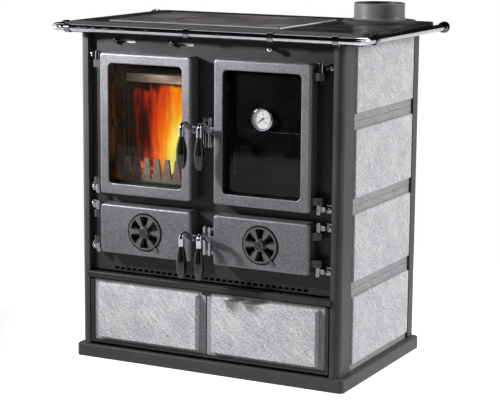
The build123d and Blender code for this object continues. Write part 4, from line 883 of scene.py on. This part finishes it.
def seen_directly(shading):
    """1 for rays that meet the backdrop straight from the camera, off metal or through glass."""
    rays = [shading.node("ShaderNodeLightPath", output="Is %s Ray" % kind)
            for kind in ("Camera", "Glossy", "Transmission")]
    return shading.node("ShaderNodeMath", {"operation": "ADD", "use_clamp": True},
                        {0: rays[0] + rays[1], 1: rays[2]})


floor_reach, floor_level = 2, -0.0006

floor_white = Finish("floor_white", Roughness=1.0, Specular_IOR_Level=0.0, Emission_Strength=1.0)
x, y = floor_white.axes("XY")
direct = seen_directly(floor_white)
floor_white.set("Base Color", floor_white.mix(direct, (0.60, 0.60, 0.61), (0.97, 0.97, 0.97)))
floor_white.set("Emission Color", floor_white.mix(direct, (0.0, 0.0, 0.0), (0.54, 0.54, 0.54)))
floor_white.set("Alpha", floor_white.fade(squares(x, y), 0.9, 1.9, 1.0, 0.0))
stage_sheet("floor", [(across * floor_reach, deep * floor_reach, floor_level)
                      for across, deep in ((-1, -1), (1, -1), (1, 1), (-1, 1))], floor_white)

world = bpy.data.worlds.new("studio")
bpy.context.scene.world = world
world.use_nodes = True
room = Shading(world.node_tree, "Background")
room.set("Strength", room.fade(seen_directly(room), 0.0, 1.0, 0.25, 1.0))
room.set("Color", (1, 1, 1))

card_black = Finish("card_black", Specular_IOR_Level=0.0, Roughness=1.0)
card_black.set("Base Color",
               card_black.mix(card_black.grain(3, 2), (0.010, 0.010, 0.011), (0.02, 0.02, 0.02)))
card_white = Finish("card_white", Base_Color=(0, 0, 0), Emission_Strength=3.0)
card_white.set("Emission Color",
               card_white.mix(card_white.grain(2, 2), (0.96, 0.98, 1.0), (1.0, 1.0, 1.0)))


def card(name, finish, *corners):
    """A card that only polished surfaces show."""
    made = stage_sheet(name, corners, finish)
    made.visible_camera = False
    made.visible_diffuse = False
    made.visible_shadow = False
    made.visible_transmission = False


card("card_behind", card_black,
     (-4.2, 2.6, 0.9), (2.2, 2.6, 0.9), (2.2, 2.6, 2.9), (-4.2, 2.6, 2.9))
card("card_front", card_black,
     (-4.2, -4.6, -0.2), (2.4, -4.6, -0.2), (2.4, -4.6, 3.2), (-4.2, -4.6, 3.2))
card("card_right", card_black,
     (2.4, -4.6, -0.2), (4.6, -2.2, -0.2), (4.6, -2.2, 3.2), (2.4, -4.6, 3.2))
card("card_far_left", card_black,
     (-6.6, -2.2, -0.2), (-4.2, -4.6, -0.2), (-4.2, -4.6, 3.2), (-6.6, -2.2, 3.2))
card("card_above", card_black,
     (-4.2, -4.6, 3.2), (2.4, -4.6, 3.2), (2.4, 0.8, 3.2), (-4.2, 0.8, 3.2))
card("card_left", card_white,
     (-2.2, -1.0, 0.05), (-2.2, 0.1, 0.05), (-2.2, 0.1, 1.0), (-2.2, -1.0, 1.0))


def hang(light, place):
    """Hangs a lamp at its place, out of the camera's sight."""
    holder = bpy.data.objects.new(light.name, light)
    bpy.context.scene.collection.objects.link(holder)
    holder.location = place
    holder.visible_camera = False
    return holder


def soft_box(name, place, aim, size, power, spread=180):
    """A square soft box aimed at a point, its light held within a cone of so many degrees."""
    light = bpy.data.lights.new(name, "AREA")
    light.size = size
    light.energy = power
    light.spread = math.radians(spread)
    holder = hang(light, place)
    holder.rotation_euler = (Vector(aim) - Vector(place)).to_track_quat("-Z", "Y").to_euler()
    return holder


def flag(lamp, state, *names):
    """Keeps a lamp off the named pieces with EXCLUDE, or on them alone with INCLUDE."""
    flagged = bpy.data.collections.new(lamp.name + "_flag")
    for name in names:
        flagged.objects.link(nodes[name])
    for entry in flagged.collection_objects:
        entry.light_linking.link_state = state
    lamp.light_linking.receiver_collection = flagged


# The key lamp would glare in the hob from behind, so the plate has a lamp of its own.
key = soft_box("key", (-1.18, -1.11, 1.18), (-0.06, -0.25, 0.80), 0.14, 12.5, 80)
flag(key, "EXCLUDE", "hob_frame", "cooking_plate", "cooking_lid")
soft_box("right_fill", (3.2, 1.2, 1.6), (0.3, 0, 0.45), 1.2, 80)
soft_box("overhead", (0.6, 1.3, 3.0), (0, 0, 0.8), 1.2, 27)
plate_light = soft_box("plate_light", (-0.1, -1.5, 2.0), (-0.05, -0.25, 0.86), 0.5, 12)
flag(plate_light, "INCLUDE", "cooking_plate")

for name, place, power, shade in (
        ("fire_light", (-0.12, 0.04, 0.56), 0.17, (1.0, 0.52, 0.24)),
        ("fence_glow", (-0.15, -0.224, 0.60), 0.035, (1.0, 0.82, 0.66)),
        ("baffle_glow", (-0.17, -0.190, 0.757), 0.12, (1.0, 0.88, 0.80))):
    light = bpy.data.lights.new(name, "POINT")
    light.energy = power
    light.shadow_soft_size = 0.012
    light.color = shade
    hang(light, place)

# ---- camera -----------------------------------------------------------------------------
# A long lens to the front right and a little above the hob, where the photograph was taken
# from. It was found from the stove's straight edges. Nothing is shifted or out of focus.
eye = Vector((1.9439, -3.8288, 1.1722))
turn, drop, roll = math.radians(26.945), math.radians(10.227), math.radians(0.481)
ahead = Vector((-math.sin(turn) * math.cos(drop), math.cos(turn) * math.cos(drop),
                -math.sin(drop)))
right = Vector((math.cos(turn), math.sin(turn), 0))
up = right.cross(ahead)
right, up = (right * math.cos(roll) + up * math.sin(roll),
             up * math.cos(roll) - right * math.sin(roll))
lens = bpy.data.cameras.new("camera")
lens.lens = 122.735
lens.sensor_width = 36
lens.sensor_fit = "HORIZONTAL"
lens.clip_end = 50
camera = bpy.data.objects.new("camera", lens)
bpy.context.scene.collection.objects.link(camera)
turning = Matrix((right, up, -ahead)).transposed().to_4x4()
camera.matrix_world = Matrix.Translation(eye) @ turning
bpy.context.scene.camera = camera

bpy.context.scene.view_settings.view_transform = "Standard"
